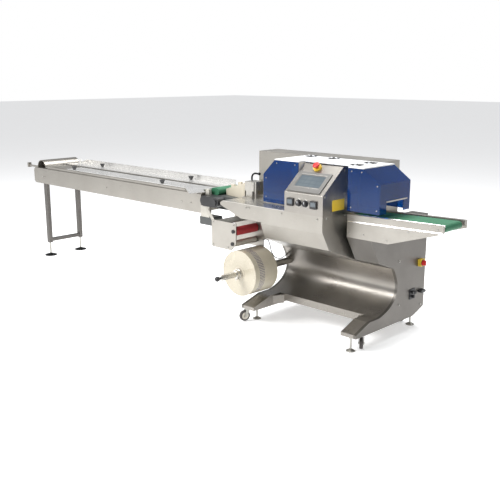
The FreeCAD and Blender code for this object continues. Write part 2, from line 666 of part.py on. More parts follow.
def chain_centres():
    """End centres of the pusher chain's loop."""
    cz = CHAIN_TOP - CHAIN_R
    return (CHAIN_ENDS[0] + CHAIN_R, cz), (CHAIN_ENDS[1] - CHAIN_R, cz)


def infeed_frame():
    """Closed beam between the panels, stepped up to the deck, with the ring-shaped chain channel."""
    inner = (INFEED_FRONT + PANEL_SHEET, INFEED_REAR - PANEL_SHEET)
    beam = block((INFEED_LEFT + 10, INFEED_RIGHT), inner, (FRAME_BOTTOM, PANEL_TOP))
    deck = block((DECK_LEFT, INFEED_RIGHT), (INFEED_FRONT + 10, INFEED_REAR - 10), (PANEL_TOP, PLATE_TOP - SKIN))
    frame = beam.fuse(deck).removeSplitter()
    a, b = chain_centres()
    y = (FLOW_Y - SLOT_HALF_WIDTH, FLOW_Y + SLOT_HALF_WIDTH)
    channel = slot_shape(a, b, CHAIN_R + 4, y).cut(slot_shape(a, b, CHAIN_R - CHAIN_THICK - SEAT_GAP, y))
    mouth = block((a[0], b[0]), y, (CHAIN_TOP - 2, PLATE_TOP))
    return frame.cut(channel).cut(mouth)


def pusher_chain():
    """Closed chain loop in the middle slot."""
    a, b = chain_centres()
    return loop_shape(a, b, CHAIN_R, CHAIN_THICK, (FLOW_Y - CHAIN_HALF_WIDTH, FLOW_Y + CHAIN_HALF_WIDTH))


def infeed_plates():
    """Near and far slide plates each side of the chain slot."""
    z = (PLATE_TOP - SKIN, PLATE_TOP)
    near = block((NEAR_PLATE_LEFT, PLATE_JOINT_X), (INFEED_FRONT - 2, FLOW_Y - PLATE_SLOT_HALF), z)
    far = block((DECK_LEFT, INFEED_RIGHT), (FLOW_Y + PLATE_SLOT_HALF, INFEED_REAR), z)
    return Part.makeCompound([near, far])


def flared_plate():
    """Wing plate that widens out over the near side at the end of the infeed."""
    z = (PLATE_TOP - SKIN, PLATE_TOP)
    near = FLOW_Y - PLATE_SLOT_HALF
    return plan_prism([(PLATE_JOINT_X, INFEED_FRONT - 2), (PLATE_JOINT_X, near), (INFEED_RIGHT, near),
                       (INFEED_RIGHT, -190), WING_INNER, WING_TIP], z)


def guide_board():
    """Upright board along the far side, cut to a slope at its tail end, with a small end post."""
    y = (INFEED_REAR - 10 - BOARD_THICK, INFEED_REAR - 10)
    board = side_prism([(DECK_LEFT, PLATE_TOP), (BOARD_SHOULDER_X, BOARD_TOP), (INFEED_RIGHT, BOARD_TOP),
                        (INFEED_RIGHT, PLATE_TOP)], y)
    post = block((DECK_LEFT + 30, DECK_LEFT + 42), (y[0] - 14, y[1]), (PLATE_TOP, BOARD_TOP - 4))
    return board.fuse(post).removeSplitter()


def infeed_knobs():
    """Tapered clamp knobs, two on each slide plate."""
    pieces = []
    for kx in KNOB_X:
        for ky in KNOB_Y:
            cone = Part.makeCone(KNOB_FOOT_R, KNOB_TOP_R, KNOB_HEIGHT - 6, V(kx, ky, PLATE_TOP))
            rim = Part.makeCylinder(KNOB_TOP_R, 6, V(kx, ky, PLATE_TOP + KNOB_HEIGHT - 6))
            rim = rim.makeFillet(3, [e for e in rim.Edges if len(e.Vertexes) == 1 and e.CenterOfMass.z > PLATE_TOP + 25])
            pieces.append(cone.fuse(rim))
    return Part.makeCompound(pieces)


def tail_hood():
    """Rounded hood over the tail shaft, open at both sides, with the tensioning arm and its end block."""
    mid = (TAIL_X[0] + TAIL_X[1]) / 2
    radius = (TAIL_X[1] - TAIL_X[0]) / 2
    y = (INFEED_FRONT + PANEL_SHEET, INFEED_REAR - PANEL_SHEET)
    centre_z = TAIL_TOP - radius
    outer = rod(radius, (mid, y[0], centre_z), (mid, y[1], centre_z))
    outer = outer.fuse(block(TAIL_X, y, (PANEL_TOP - 60, centre_z)))
    inner = rod(radius - TAIL_WALL, (mid, y[0], centre_z), (mid, y[1], centre_z))
    inner = inner.fuse(block((TAIL_X[0] + TAIL_WALL, TAIL_X[1] - TAIL_WALL), y, (PANEL_TOP - 60, centre_z)))
    hood = outer.cut(inner).common(block(TAIL_X, y, (PANEL_TOP, TAIL_TOP + 1)))
    arm = block((TAIL_ARM_END + 10, TAIL_X[0]), (y[0] + 6, y[0] + 20), (PANEL_TOP, PANEL_TOP + 15))
    end = block((TAIL_ARM_END, TAIL_ARM_END + 20), (y[0], y[0] + 30), (PANEL_TOP - 8, PANEL_TOP + 32))
    chain_gap = block((mid, TAIL_X[1] + 1), (FLOW_Y - SLOT_HALF_WIDTH, FLOW_Y + SLOT_HALF_WIDTH),
                      (PANEL_TOP - 1, CHAIN_TOP + RUNNING_GAP))
    return hood.cut(chain_gap).fuse([arm, end]).removeSplitter()


def leg_frame():
    """Two square legs and the low crossbar under the tail end."""
    half = LEG_SIZE[0] / 2
    near = (INFEED_FRONT + PANEL_SHEET, INFEED_FRONT + PANEL_SHEET + LEG_SIZE[1])
    far = (INFEED_REAR - PANEL_SHEET - LEG_SIZE[1], INFEED_REAR - PANEL_SHEET)
    legs = [block((LEG_X - half, LEG_X + half), y, (LEG_BOTTOM, FRAME_BOTTOM)) for y in (near, far)]
    legs = [soften(leg, 4, Z) for leg in legs]
    bar = block((LEG_X - half + 4, LEG_X + half - 4), (near[1] - 2, far[0] + 2), CROSSBAR_Z)
    return bar.fuse(legs).removeSplitter()


def leg_feet():
    """Domed round feet on threaded rods under the legs, as a list."""
    pieces = []
    inset = PANEL_SHEET + LEG_SIZE[1] / 2
    for fy in (INFEED_FRONT + inset, INFEED_REAR - inset):
        base = Part.makeCylinder(LEG_FOOT_R, 6, V(LEG_X, fy, 0))
        dome = Part.makeCone(LEG_FOOT_R, 14, LEG_FOOT_H - 6, V(LEG_X, fy, 6))
        stem = rod(8, (LEG_X, fy, LEG_FOOT_H - 6), (LEG_X, fy, LEG_BOTTOM))
        pieces.append(base.fuse([dome, stem]))
    return pieces


# ---- transfer and folding box ---------------------------------------------------------------------------
def transfer_frame(bed_solid):
    """Dark frame that joins the infeed to the bed's nose."""
    return block((INFEED_RIGHT, TRANSFER_RIGHT), TRANSFER_Y, TRANSFER_Z).cut(bed_solid)


def transfer_housing():
    """Black round-ended drive housing on the near side, with its bright hub."""
    radius = (HOUSING_Z[1] - HOUSING_Z[0]) / 2
    mid = (HOUSING_Z[0] + HOUSING_Z[1]) / 2
    y = (HOUSING_FRONT, TRANSFER_Y[0])
    body = slot_shape((HOUSING_X[0] + radius, mid), (HOUSING_X[1] - radius, mid), radius, y)
    hub = rod(20, (HOUSING_X[1] - radius, HOUSING_FRONT - 8, mid), (HOUSING_X[1] - radius, HOUSING_FRONT, mid))
    return body.fuse(hub)


def transfer_roller():
    """Short green belt unit that passes the product into the folding box."""
    radius = (ROLLER_TOP - TRANSFER_Z[1]) / 2
    mid = TRANSFER_Z[1] + radius
    y = (TRANSFER_Y[0] + 12, TRANSFER_Y[1] - 12)
    unit = slot_shape((ROLLER_X[0] + radius, mid), (ROLLER_X[1] - radius, mid), radius, y)
    return unit


def transfer_bracket(film_plates):
    """Pale bracket under the housing with its arm to the film bracket, and the upright block above."""
    plate = block(BRACKET_X, (HOUSING_FRONT + 6, TRANSFER_Y[0] - 46), (BRACKET_BOTTOM, HOUSING_Z[0]))
    upright = block(BLOCK_X, (TRANSFER_Y[0] - 34, TRANSFER_Y[0] - 6), (HOUSING_Z[1], HOUSING_Z[1] + 40))
    plate = soften(plate, 6, Y, lambda c: c.z < BRACKET_BOTTOM + 1).fuse(film_arm().cut(film_plates))
    return Part.makeCompound([plate.removeSplitter(), soften(upright, 4, Z)])


def drive_box():
    """Dark motor box hung under the bracket."""
    box = block(DRIVE_BOX_X, (HOUSING_FRONT + 6, TRANSFER_Y[0] + 40), (DRIVE_BOX_BOTTOM, BRACKET_BOTTOM))
    return soften(box, 6, Y)


def film_arm():
    """Slanting flat bar from the transfer bracket down to the film bracket."""
    start = V(BRACKET_X[1] - 12, HOUSING_FRONT + 6, 690)
    end = V(FILM_BRACKET_X[0] + 14, BED_FRONT + SHEET, FILM_BRACKET_Z[1] - 14)
    along = (end - start).normalize()
    side = along.cross(Z).normalize()
    up = side.cross(along) * 13
    side = side * 4
    corners = [start + side + up, start - side + up, start - side - up, start + side - up]
    return Part.Face(Part.makePolygon(corners + corners[:1])).extrude(end - start)


def ring_section(x, half, height, shrink):
    """Rectangle across the flow at one x, for the folding box."""
    low = TRANSFER_Z[1] + shrink
    high = TRANSFER_Z[1] + height - shrink
    corners = [V(x, FLOW_Y - half + shrink, low), V(x, FLOW_Y + half - shrink, low),
               V(x, FLOW_Y + half - shrink, high), V(x, FLOW_Y - half + shrink, high)]
    return Part.makePolygon(corners + corners[:1])


def former(bed_solid):
    """Hollow folding box that widens with the flow, with two clamps on its top edge."""
    outer = Part.makeLoft([ring_section(FORMER_X[0], *FORMER_TIP, 0), ring_section(FORMER_X[1], *FORMER_END, 0)], True)
    inner = Part.makeLoft([ring_section(FORMER_X[0] - 1, *FORMER_TIP, FORMER_WALL),
                           ring_section(FORMER_X[1] + 1, *FORMER_END, FORMER_WALL)], True)
    box = outer.cut(inner)
    rise = (FORMER_END[1] - FORMER_TIP[1]) / (FORMER_X[1] - FORMER_X[0])
    for share in (0.25, 0.62):
        cx = FORMER_X[0] + share * (FORMER_X[1] - FORMER_X[0])
        top = TRANSFER_Z[1] + FORMER_TIP[1] + rise * (cx - FORMER_X[0])
        half = FORMER_TIP[0] + share * (FORMER_END[0] - FORMER_TIP[0])
        clamp = block((cx, cx + CLAMP_LENGTH), (FLOW_Y - half + 4, FLOW_Y - half + 20), (top - 2, top + 22))
        box = box.fuse(clamp.cut(inner))
    return box.cut(bed_solid)


def fin_seal_unit():
    """Sealing block on its stand beside the film path, with a round post behind it."""
    deck = BED_TOP + SKIN
    stand = block((FIN_X[0] + 14, FIN_X[1] - 14), (FIN_Y[0], FIN_STAND_Y), (deck, FIN_BLOCK_Z[0]))
    foot = block(FIN_X, (FIN_Y[0] - 22, FIN_STAND_Y + 4), (deck, deck + 6))
    head = soften(block(FIN_X, FIN_Y, FIN_BLOCK_Z), 5, Z)
    post = rod(FIN_POST_R, (FIN_POST_X, FIN_Y[0], deck), (FIN_POST_X, FIN_Y[0], FIN_BLOCK_Z[1] + 6))
    return Part.makeCompound([head.fuse([stand, foot, fin_seal_lever()]).removeSplitter(), post])


def fin_seal_lever():
    """Curved black hand lever on the sealing block."""
    base = V(FIN_X[0] + 40, FIN_Y[0] + 30, FIN_BLOCK_Z[1])
    up = base + V(0, 0, 22)
    turn = up + V(LEVER_BEND_R * (1 - math.sqrt(0.5)), 0, LEVER_BEND_R * math.sqrt(0.5))
    out = up + V(LEVER_BEND_R, 0, LEVER_BEND_R)
    tip = out + V(34, 0, 0)
    path = Part.Wire([Part.LineSegment(base, up).toShape(), Part.Arc(up, turn, out).toShape(),
                      Part.LineSegment(out, tip).toShape()])
    section = Part.Wire([Part.makeCircle(LEVER_R, base, Z)])
    grip = Part.makeSphere(LEVER_R * 1.7, tip)
    return path.makePipeShell([section], True, False).fuse(grip)


# ---- film unit -------------------------------------------------------------------------------------------
def film_bracket(body):
    """Front plate, top plate and rear plate that hold the film rollers under the bed."""
    front_y = (BED_FRONT, BED_FRONT + SHEET)
    left, right = FILM_BRACKET_X
    low, high = FILM_BRACKET_Z
    front = side_prism([(left, low), (FILM_CORNER[0], low), (right, FILM_CORNER[1]), (right, high), (left, high)], front_y)
    front = soften(front, 10, Y, lambda c: c.z < low + 1)
    top = block((left + 40, right - 60), (front_y[0], FILM_REAR_Y + SHEET), (high - SHEET, high))
    rear_y = (FILM_REAR_Y, FILM_REAR_Y + SHEET)
    rear = block((left, UPPER_LEFT), rear_y, (low, TRANSFER_Z[0]))
    tongue = block((UPPER_LEFT, SHOULDER_X), rear_y, (FILM_TONGUE_Z, TRANSFER_Z[0])).cut(body)
    bar = rod(STRIPPER_BAR[2], (STRIPPER_BAR[0], front_y[0] + 1, STRIPPER_BAR[1]),
              (STRIPPER_BAR[0], FILM_REAR_Y + 1, STRIPPER_BAR[1]))
    frame = front.fuse([top, rear, tongue, bar]).removeSplitter()
    for ax, az, _radius in (RED_ROLLER, GUIDE_ROLLER):
        frame = frame.cut(rod(JOURNAL_R + BORE_GAP, (ax, BED_FRONT - 1, az), (ax, FILM_REAR_Y + SHEET + 1, az)))
    return frame


def film_unit_roller(values):
    """Roller between the film bracket's plates, on journals that turn in the plates."""
    ax, az, radius = values
    barrel = rod(radius, (ax, BED_FRONT + SHEET + RUNNING_GAP, az), (ax, FILM_REAR_Y - RUNNING_GAP, az))
    journal = rod(JOURNAL_R, (ax, BED_FRONT - 3, az), (ax, FILM_REAR_Y + SHEET + 3, az))
    return barrel.fuse(journal)


def roll_rod(radius, y):
    """Round piece on the film roll's axis."""
    return rod(radius, (ROLL_X, y[0], ROLL_Z), (ROLL_X, y[1], ROLL_Z))


def spindle_housing(neighbours):
    """Bearing tube that carries the spindle out of the concave sheet."""
    y = (ROLL_Y[1] + RUNNING_GAP, WAIST_Y + 60)
    tube = roll_rod(HOUSING_R, y).cut(roll_rod(SPINDLE_R + BORE_GAP, (y[0] - 1, SPINDLE_INNER_END + 5)))
    for solid in neighbours:
        tube = tube.cut(solid)
    return tube


def roll_spindle():
    """Turning spindle: inner shaft, chuck in the film core, collar, flange star and outer tube."""
    shaft = roll_rod(SPINDLE_R, (SPINDLE_END, SPINDLE_INNER_END))
    chuck = roll_rod(CORE_R, (ROLL_Y[0], ROLL_Y[1]))
    collar = roll_rod(COLLAR_R, (ROLL_Y[0] - COLLAR_LENGTH, ROLL_Y[0]))
    tube = roll_rod(SPINDLE_TUBE_R, (SPINDLE_END, ROLL_Y[0]))
    screw = rod(6, (ROLL_X, ROLL_Y[0] - COLLAR_LENGTH - 12, ROLL_Z),
                (ROLL_X, ROLL_Y[0] - COLLAR_LENGTH - 12, ROLL_Z - COLLAR_R - 8))
    ring = roll_rod(SPINDLE_TUBE_R + 7, (ROLL_Y[0] - COLLAR_LENGTH - 22, ROLL_Y[0] - COLLAR_LENGTH))
    return shaft.fuse([chuck, collar, tube, ring, screw]).removeSplitter()


def film_roll():
    """Wound film on its core."""
    wound = roll_rod(ROLL_R, ROLL_Y)
    return wound.cut(roll_rod(CORE_R, (ROLL_Y[0] - 1, ROLL_Y[1] + 1)))


def spindle_knob():
    """Black ball knob with its neck on the spindle's end."""
    neck = roll_rod(8, (SPINDLE_END - 16, SPINDLE_END))
    ball = Part.makeSphere(BALL_R, V(ROLL_X, SPINDLE_END - 12 - BALL_R, ROLL_Z))
    return neck.fuse(ball)


# ---- discharge conveyor ------------------------------------------------------------------------------------
def discharge_outline():
    """Line of a discharge side plate in x and z."""
    return [(DISCHARGE_LEFT, DISCHARGE_SEAT), (DISCHARGE_LEFT, DISCHARGE_TOP[0]),
            (DISCHARGE_RIGHT, DISCHARGE_TOP[1]), (DISCHARGE_RIGHT, DISCHARGE_NOSE_Z),
            (DISCHARGE_KNEE_X, DISCHARGE_SEAT)]


def discharge_sides():
    """Near plate with a bevelled lip, far plate, and the cross frame that stands on the body."""
    near_y = (DISCHARGE_Y[0], DISCHARGE_Y[0] + SHEET)
    near = side_prism(discharge_outline(), near_y)
    lip_line = [(DISCHARGE_LEFT, DISCHARGE_TOP[0] - LIP_HEIGHT), (DISCHARGE_LEFT, DISCHARGE_TOP[0]),
                (DISCHARGE_RIGHT, DISCHARGE_TOP[1]), (DISCHARGE_RIGHT, DISCHARGE_TOP[1] - LIP_HEIGHT)]
    lip = side_prism(lip_line, (DISCHARGE_Y[0], DISCHARGE_Y[0] + LIP_WIDTH))
    far = side_prism(discharge_outline(), (DISCHARGE_Y[1] - SHEET, DISCHARGE_Y[1]))
    rail_line = [(DISCHARGE_LEFT, DISCHARGE_TOP[0] - FAR_RAIL[1]), (DISCHARGE_LEFT, DISCHARGE_TOP[0]),
                 (DISCHARGE_RIGHT, DISCHARGE_TOP[1]), (DISCHARGE_RIGHT, DISCHARGE_TOP[1] - FAR_RAIL[1])]
    rail = side_prism(rail_line, (DISCHARGE_Y[1] - FAR_RAIL[0], DISCHARGE_Y[1]))
    base = block(BASE_X, (near_y[0], DISCHARGE_Y[1]), (DISCHARGE_SEAT, DISCHARGE_SEAT + 24))
    return base.fuse([near, lip, far, rail, discharge_bed()]).removeSplitter()


def discharge_belt():
    """Closed green belt loop."""
    return loop_shape(*BELT_ENDS, BELT_R, BELT_THICK, BELT_Y)


def discharge_bed():
    """Slide bed inside the belt, on two shafts held by the side plates."""
    core = slot_shape(*BELT_ENDS, BELT_R - BELT_THICK - SEAT_GAP, (BELT_Y[0] + 2, BELT_Y[1] - 2))
    reach = (DISCHARGE_Y[0] + LIP_WIDTH, DISCHARGE_Y[1] - SHEET)
    shafts = [rod(8, (cx, reach[0], cz), (cx, reach[1], cz)) for cx, cz in BELT_ENDS]
    return core.fuse(shafts).removeSplitter()


# ---- right end face --------------------------------------------------------------------------------------
def isolator_box():
    """Yellow box of the main switch on the right end plate."""
    half = ISOLATOR_SIDE / 2
    box = block((BODY_RIGHT, BODY_RIGHT + ISOLATOR_DEPTH), (ISOLATOR[0] - half, ISOLATOR[0] + half),
                (ISOLATOR[1] - half, ISOLATOR[1] + half))
    bore = rod(5 + BORE_GAP, (BODY_RIGHT + 4, *ISOLATOR), (BODY_RIGHT + ISOLATOR_DEPTH + 1, *ISOLATOR))
    return soften(box, 4, X).cut(bore)


def isolator_knob():
    """Red turning knob with a flat grip and its stem."""
    base_x = BODY_RIGHT + ISOLATOR_DEPTH + 1
    disc = rod(ISOLATOR_KNOB_R, (base_x, *ISOLATOR), (base_x + ISOLATOR_KNOB_DEPTH, *ISOLATOR))
    grip = block((base_x, base_x + ISOLATOR_KNOB_DEPTH + 10), (ISOLATOR[0] - 5, ISOLATOR[0] + 5),
                 (ISOLATOR[1] - ISOLATOR_KNOB_R + 2, ISOLATOR[1] + ISOLATOR_KNOB_R - 2))
    stem = rod(5, (BODY_RIGHT + 6, *ISOLATOR), (base_x + 1, *ISOLATOR))
    return disc.fuse([grip, stem]).removeSplitter()


def outlet_fitting():
    """Cable outlet plate with three nipples, and the black pull handle beside it."""
    y, z = FITTING
    plate = block((BODY_RIGHT, BODY_RIGHT + 4), (y - 32, y + 32), (z - 34, z + 34))
    plate = soften(plate, 6, X)
    nipples = [rod(9, (BODY_RIGHT, y + dy, z + dz), (BODY_RIGHT + 22, y + dy, z + dz))
               for dy, dz in ((-14, 14), (14, 8), (-4, -16))]
    handle = block((BODY_RIGHT, BODY_RIGHT + 24), (HANDLE[0] - 26, HANDLE[0] + 26), (HANDLE[1] - 9, HANDLE[1] + 9))
    return Part.makeCompound([plate.fuse(nipples), soften(handle, 7, X)])


# ---- feet and casters ---------------------------------------------------------------------------------------
def corner_underside(name):
    """Height of the surface that a corner's foot and caster hang from."""
    return FOOT_UNDERSIDE if name.startswith("front") else UNDERSIDE


def levelling_feet():
    """Round foot on a threaded rod at each corner of the body, and the feet of the infeed's legs."""
    pieces = leg_feet()
    for name, (foot, _swivel, _heading) in CORNERS.items():
        fx, fy = foot
        pad = Part.makeCylinder(FOOT_PAD_R, 5, V(fx, fy, 0))
        cone = Part.makeCone(FOOT_PAD_R, FOOT_ROD_R + 4, FOOT_PAD_H, V(fx, fy, 5))
        stem = rod(FOOT_ROD_R, (fx, fy, FOOT_PAD_H), (fx, fy, corner_underside(name)))
        nut = Part.makeCylinder(FOOT_ROD_R + 5, FOOT_NUT_H, V(fx, fy, corner_underside(name) - FOOT_NUT_H))
        pieces.append(pad.fuse([cone, stem, nut]))
    return Part.makeCompound(pieces)


def axle_centre(name):
    """Middle of a caster's wheel."""
    _foot, (sx, sy), heading = CORNERS[name]
    turn = math.radians(heading)
    return V(sx + CASTER_TRAIL * math.cos(turn), sy + CASTER_TRAIL * math.sin(turn), WHEEL_LIFT + WHEEL_R)


def axle_way(name):
    """Level direction of a caster's axle."""
    turn = math.radians(CORNERS[name][2])
    return V(-math.sin(turn), math.cos(turn), 0)


def caster_fork(name):
    """Swivel fork: king pin, disc, two legs and the axle."""
    _foot, (sx, sy), heading = CORNERS[name]
    under = corner_underside(name)
    disc_top = under - 0.5
    pin = rod(KING_PIN_R, (sx, sy, disc_top - 2), (sx, sy, under + KING_PIN_DEPTH))
    disc = rod(FORK_DISC_R, (sx, sy, disc_top - FORK_DISC_H), (sx, sy, disc_top))
    wheel_mid = WHEEL_LIFT + WHEEL_R
    inner = WHEEL_WIDTH / 2 + 2
    legs = []
    for sign in (-1, 1):
        y = (inner, inner + FORK_LEG) if sign > 0 else (-inner - FORK_LEG, -inner)
        legs.append(side_prism([(-12, disc_top - FORK_DISC_H), (14, disc_top - FORK_DISC_H), (14, disc_top),
                                (-12, disc_top)], y))
        legs.append(side_prism([(-12, disc_top - 1), (CASTER_TRAIL - 9, wheel_mid - 8), (CASTER_TRAIL + 9, wheel_mid - 8),
                                (14, disc_top - 1)], y))
    bridge = block((-12, 14), (-inner - FORK_LEG, inner + FORK_LEG), (disc_top - FORK_DISC_H, disc_top))
    axle = rod(AXLE_R, (CASTER_TRAIL, -inner - FORK_LEG - 3, wheel_mid), (CASTER_TRAIL, inner + FORK_LEG + 3, wheel_mid))
    local = bridge.fuse(legs + [axle])
    local.rotate(V(0, 0, 0), Z, heading)
    local.translate(V(sx, sy, 0))
    return local.fuse([disc, pin]).removeSplitter()


def caster_wheel(name):
    """Wheel with a rounded tread and a bore for the axle."""
    centre = axle_centre(name)
    way = axle_way(name)
    start = centre - way * (WHEEL_WIDTH / 2)
    tyre = Part.makeCylinder(WHEEL_R, WHEEL_WIDTH, start, way)
    tyre = tyre.makeFillet(5, [e for e in tyre.Edges if len(e.Vertexes) == 1])
    return tyre.cut(Part.makeCylinder(AXLE_R + BORE_GAP, WHEEL_WIDTH + 2, start - way, way))


# ---- cable -----------------------------------------------------------------------------------------------
def cable_points():
    """Route of the film unit's cable, from its gland on the film bracket to its gland on the front sheet."""
    start = V(*CABLE_START)
    return [start] + [start + V(*step) for step in CABLE_STEPS]


def sensor_cable():
    """Thin cable of straight runs joined by tangent arcs, as large as the two runs allow."""
    points = cable_points()
    edges = []
    at = points[0]
    for before, corner, after in zip(points, points[1:], points[2:]):
        into = (corner - before).normalize()
        away = (after - corner).normalize()
        turn = into.getAngle(away)
        trim = 0.45 * min((corner - before).Length, (after - corner).Length)
        radius = trim / math.tan(turn / 2)
        bisect = (away - into).normalize()
        centre = corner + bisect * (radius / math.cos(turn / 2))
        first = corner - into * trim
        last = corner + away * trim
        middle = centre - bisect * radius
        print("cable arc radius", round(radius, 1))
        edges.append(Part.LineSegment(at, first).toShape())
        edges.append(Part.Arc(first, middle, last).toShape())
        at = last
    edges.append(Part.LineSegment(at, points[-1]).toShape())
    path = Part.Wire(edges)
    section = Part.Wire([Part.makeCircle(CABLE_R, points[0], points[1] - points[0])])
    tube = path.makePipeShell([section], True, False)
    print("cable length", round(path.Length, 1), "volume share",
          round(tube.Volume / (math.pi * CABLE_R ** 2 * path.Length), 4))
    return tube


def cable_glands(neighbours):
    """Round glands that the cable leaves and enters."""
    points = cable_points()
    start = rod(GLAND_R, (points[0].x, FILM_REAR_Y + SHEET, points[0].z), tuple(points[0]))
    way = (points[-1] - points[-2]).normalize()
    end = rod(GLAND_R - 1, tuple(points[-1]), tuple(points[-1] + way * 60))
    for solid in neighbours:
        end = end.cut(solid)
    end = max(end.Solids, key=lambda piece: -abs(piece.CenterOfMass.y - points[-1].y))
    return Part.makeCompound([start, end])


# ---- whole machine ------------------------------------------------------------------------------------------
def build():
    """All nodes by name, in working axes."""
    lower = pedestal()
    plates = end_plates()
    bed_solid = bed()
    upper = upper_body()
    film_plates = film_bracket(upper)
    nodes = {
        "pedestal": lower,
        "end_plates": plates,
        "foot_beams": foot_beams(lower),
        "upper_body": upper,
        "rear_body": rear_body(),
        "bed": bed_solid,
        "bed_top_plate": bed_top_plate(),
        "control_head": control_head(),
        "touch_screen": touch_screen(),
        "head_buttons": head_buttons(),
        "stop_ring": stop_ring(),
        "stop_button": stop_button(),
        "rear_cabinet": rear_cabinet(),
        "top_cover": top_cover(),
        "guard_hinges": guard_hinges(),
        "left_guard_top": left_guard_top(),
        "left_guard_panel": left_guard_panel(),
        "right_guard_top": right_guard_top(),
        "right_guard_panel": right_guard_panel(),
        "end_seal_unit": end_seal_unit(),
        "infeed_side_panels": infeed_side_panels(),
        "infeed_frame": infeed_frame(),
        "infeed_plates": infeed_plates(),
        "flared_plate": flared_plate(),
        "guide_board": guide_board(),
        "infeed_knobs": infeed_knobs(),
        "pusher_chain": pusher_chain(),
        "tail_hood": tail_hood(),
        "leg_frame": leg_frame(),
        "transfer_frame": transfer_frame(bed_solid),
        "transfer_housing": transfer_housing(),
        "transfer_roller": transfer_roller(),
        "transfer_bracket": transfer_bracket(film_plates),
        "drive_box": drive_box(),
        "former": former(bed_solid),
        "fin_seal_unit": fin_seal_unit(),
        "film_bracket": film_plates,
        "red_roller": film_unit_roller(RED_ROLLER),
        "guide_roller": film_unit_roller(GUIDE_ROLLER),
        "spindle_housing": spindle_housing([lower, plates]),
        "roll_spindle": roll_spindle(),
        "film_roll": film_roll(),
        "spindle_knob": spindle_knob(),
        "discharge_sides": discharge_sides(),
        "discharge_belt": discharge_belt(),
        "isolator_box": isolator_box(),
        "isolator_knob": isolator_knob(),
        "outlet_fitting": outlet_fitting(),
        "levelling_feet": levelling_feet(),
        "sensor_cable": sensor_cable(),
        "cable_glands": cable_glands([lower, plates]),
    }
    for name in CORNERS:
        nodes[name + "_fork"] = caster_fork(name)
        nodes[name + "_wheel"] = caster_wheel(name)
    return nodes


CORD_NODES = ("sensor_cable",)


def origin_shift(nodes):
    """Vector that brings the bottom centre of everything but the cable to the origin."""
    rigid = Part.makeCompound([shape for name, shape in nodes.items() if name not in CORD_NODES])
    box = rigid.optimalBoundingBox(False)
    return V(-(box.XMin + box.XMax) / 2, -(box.YMin + box.YMax) / 2, -box.ZMin)


def main():
    """Write one STEP file for each node."""
    os.makedirs("parts", exist_ok=True)
    nodes = build()
    shift = origin_shift(nodes)
    print("origin shift", tuple(round(v, 4) for v in shift))
    for name, shape in nodes.items():
        moved = shape.copy()
        moved.translate(shift)
        moved.exportStep("parts/" + name + ".step")


main()
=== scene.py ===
"""Studio scene of a horizontal flow wrapper: finishes for its solids, small fittings, cable, light and camera."""
import json
import math

import bpy
import numpy as np
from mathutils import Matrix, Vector


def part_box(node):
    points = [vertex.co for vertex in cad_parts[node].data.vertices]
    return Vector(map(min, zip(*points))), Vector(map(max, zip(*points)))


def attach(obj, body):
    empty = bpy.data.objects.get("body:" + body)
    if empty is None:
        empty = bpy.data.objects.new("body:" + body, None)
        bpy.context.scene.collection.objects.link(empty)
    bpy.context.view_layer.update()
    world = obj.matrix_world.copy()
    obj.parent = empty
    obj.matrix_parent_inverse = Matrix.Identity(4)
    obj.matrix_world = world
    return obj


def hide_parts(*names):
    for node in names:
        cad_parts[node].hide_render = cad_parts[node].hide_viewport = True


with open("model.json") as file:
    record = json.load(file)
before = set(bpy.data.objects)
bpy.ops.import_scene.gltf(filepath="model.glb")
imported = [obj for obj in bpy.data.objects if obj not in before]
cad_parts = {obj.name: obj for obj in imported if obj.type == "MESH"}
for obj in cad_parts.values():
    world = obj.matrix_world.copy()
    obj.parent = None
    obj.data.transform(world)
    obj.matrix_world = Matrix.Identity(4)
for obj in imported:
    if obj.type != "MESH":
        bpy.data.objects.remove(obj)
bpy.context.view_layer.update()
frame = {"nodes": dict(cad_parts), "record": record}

NODES = frame["nodes"]

# ---- places: working axes of the machine, in millimetres, tied to the control head ----------------
HEAD_LOW = np.array(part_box("control_head")[0])
HEAD_HOME = np.array((-66.0, -340.0, 805.0)) / 1000
SHIFT = HEAD_LOW - HEAD_HOME


def at(x, y, z):
    """Point of the machine given in working millimetres, as a point of the frame in metres."""
    return np.array((x, y, z)) / 1000 + SHIFT


# ---- camera ------------------------------------------------------------------------------------------
CAMERA_PLACE = (2854.5, -3647.0, 1607.5)
CAMERA_AZIMUTH = math.radians(44.15)
CAMERA_ELEVATION = math.radians(13.18)
camera_data = bpy.data.cameras.new("camera")
camera_data.sensor_fit = "HORIZONTAL"
camera_data.sensor_width = 36.0
camera_data.lens = 53.16
camera_data.clip_end = 200
camera = bpy.data.objects.new("camera", camera_data)
camera.location = at(*CAMERA_PLACE)
camera.rotation_euler = (math.pi / 2 - CAMERA_ELEVATION, 0, CAMERA_AZIMUTH)
bpy.context.collection.objects.link(camera)
bpy.context.scene.camera = camera


# ---- shader helpers -------------------------------------------------------------------------------------
def add(tree, kind, inputs=None, **settings):
    """New node with its settings; inputs maps a socket's name or number to a value or to another node's output."""
    made = tree.nodes.new(kind)
    for key, value in settings.items():
        setattr(made, key, value)
    for key, value in (inputs or {}).items():
        socket = made.inputs[key]
        if isinstance(value, bpy.types.NodeSocket):
            tree.links.new(value, socket)
        else:
            socket.default_value = value
    return made


def group(name, inputs, outputs):
    """New shader node group with its named sockets, its input node and its output node."""
    tree = bpy.data.node_groups.new(name, "ShaderNodeTree")
    for label, kind in inputs:
        tree.interface.new_socket(label, in_out="INPUT", socket_type="NodeSocket" + kind)
    for label, kind in outputs:
        tree.interface.new_socket(label, in_out="OUTPUT", socket_type="NodeSocket" + kind)
    return tree, tree.nodes.new("NodeGroupInput").outputs, tree.nodes.new("NodeGroupOutput").inputs


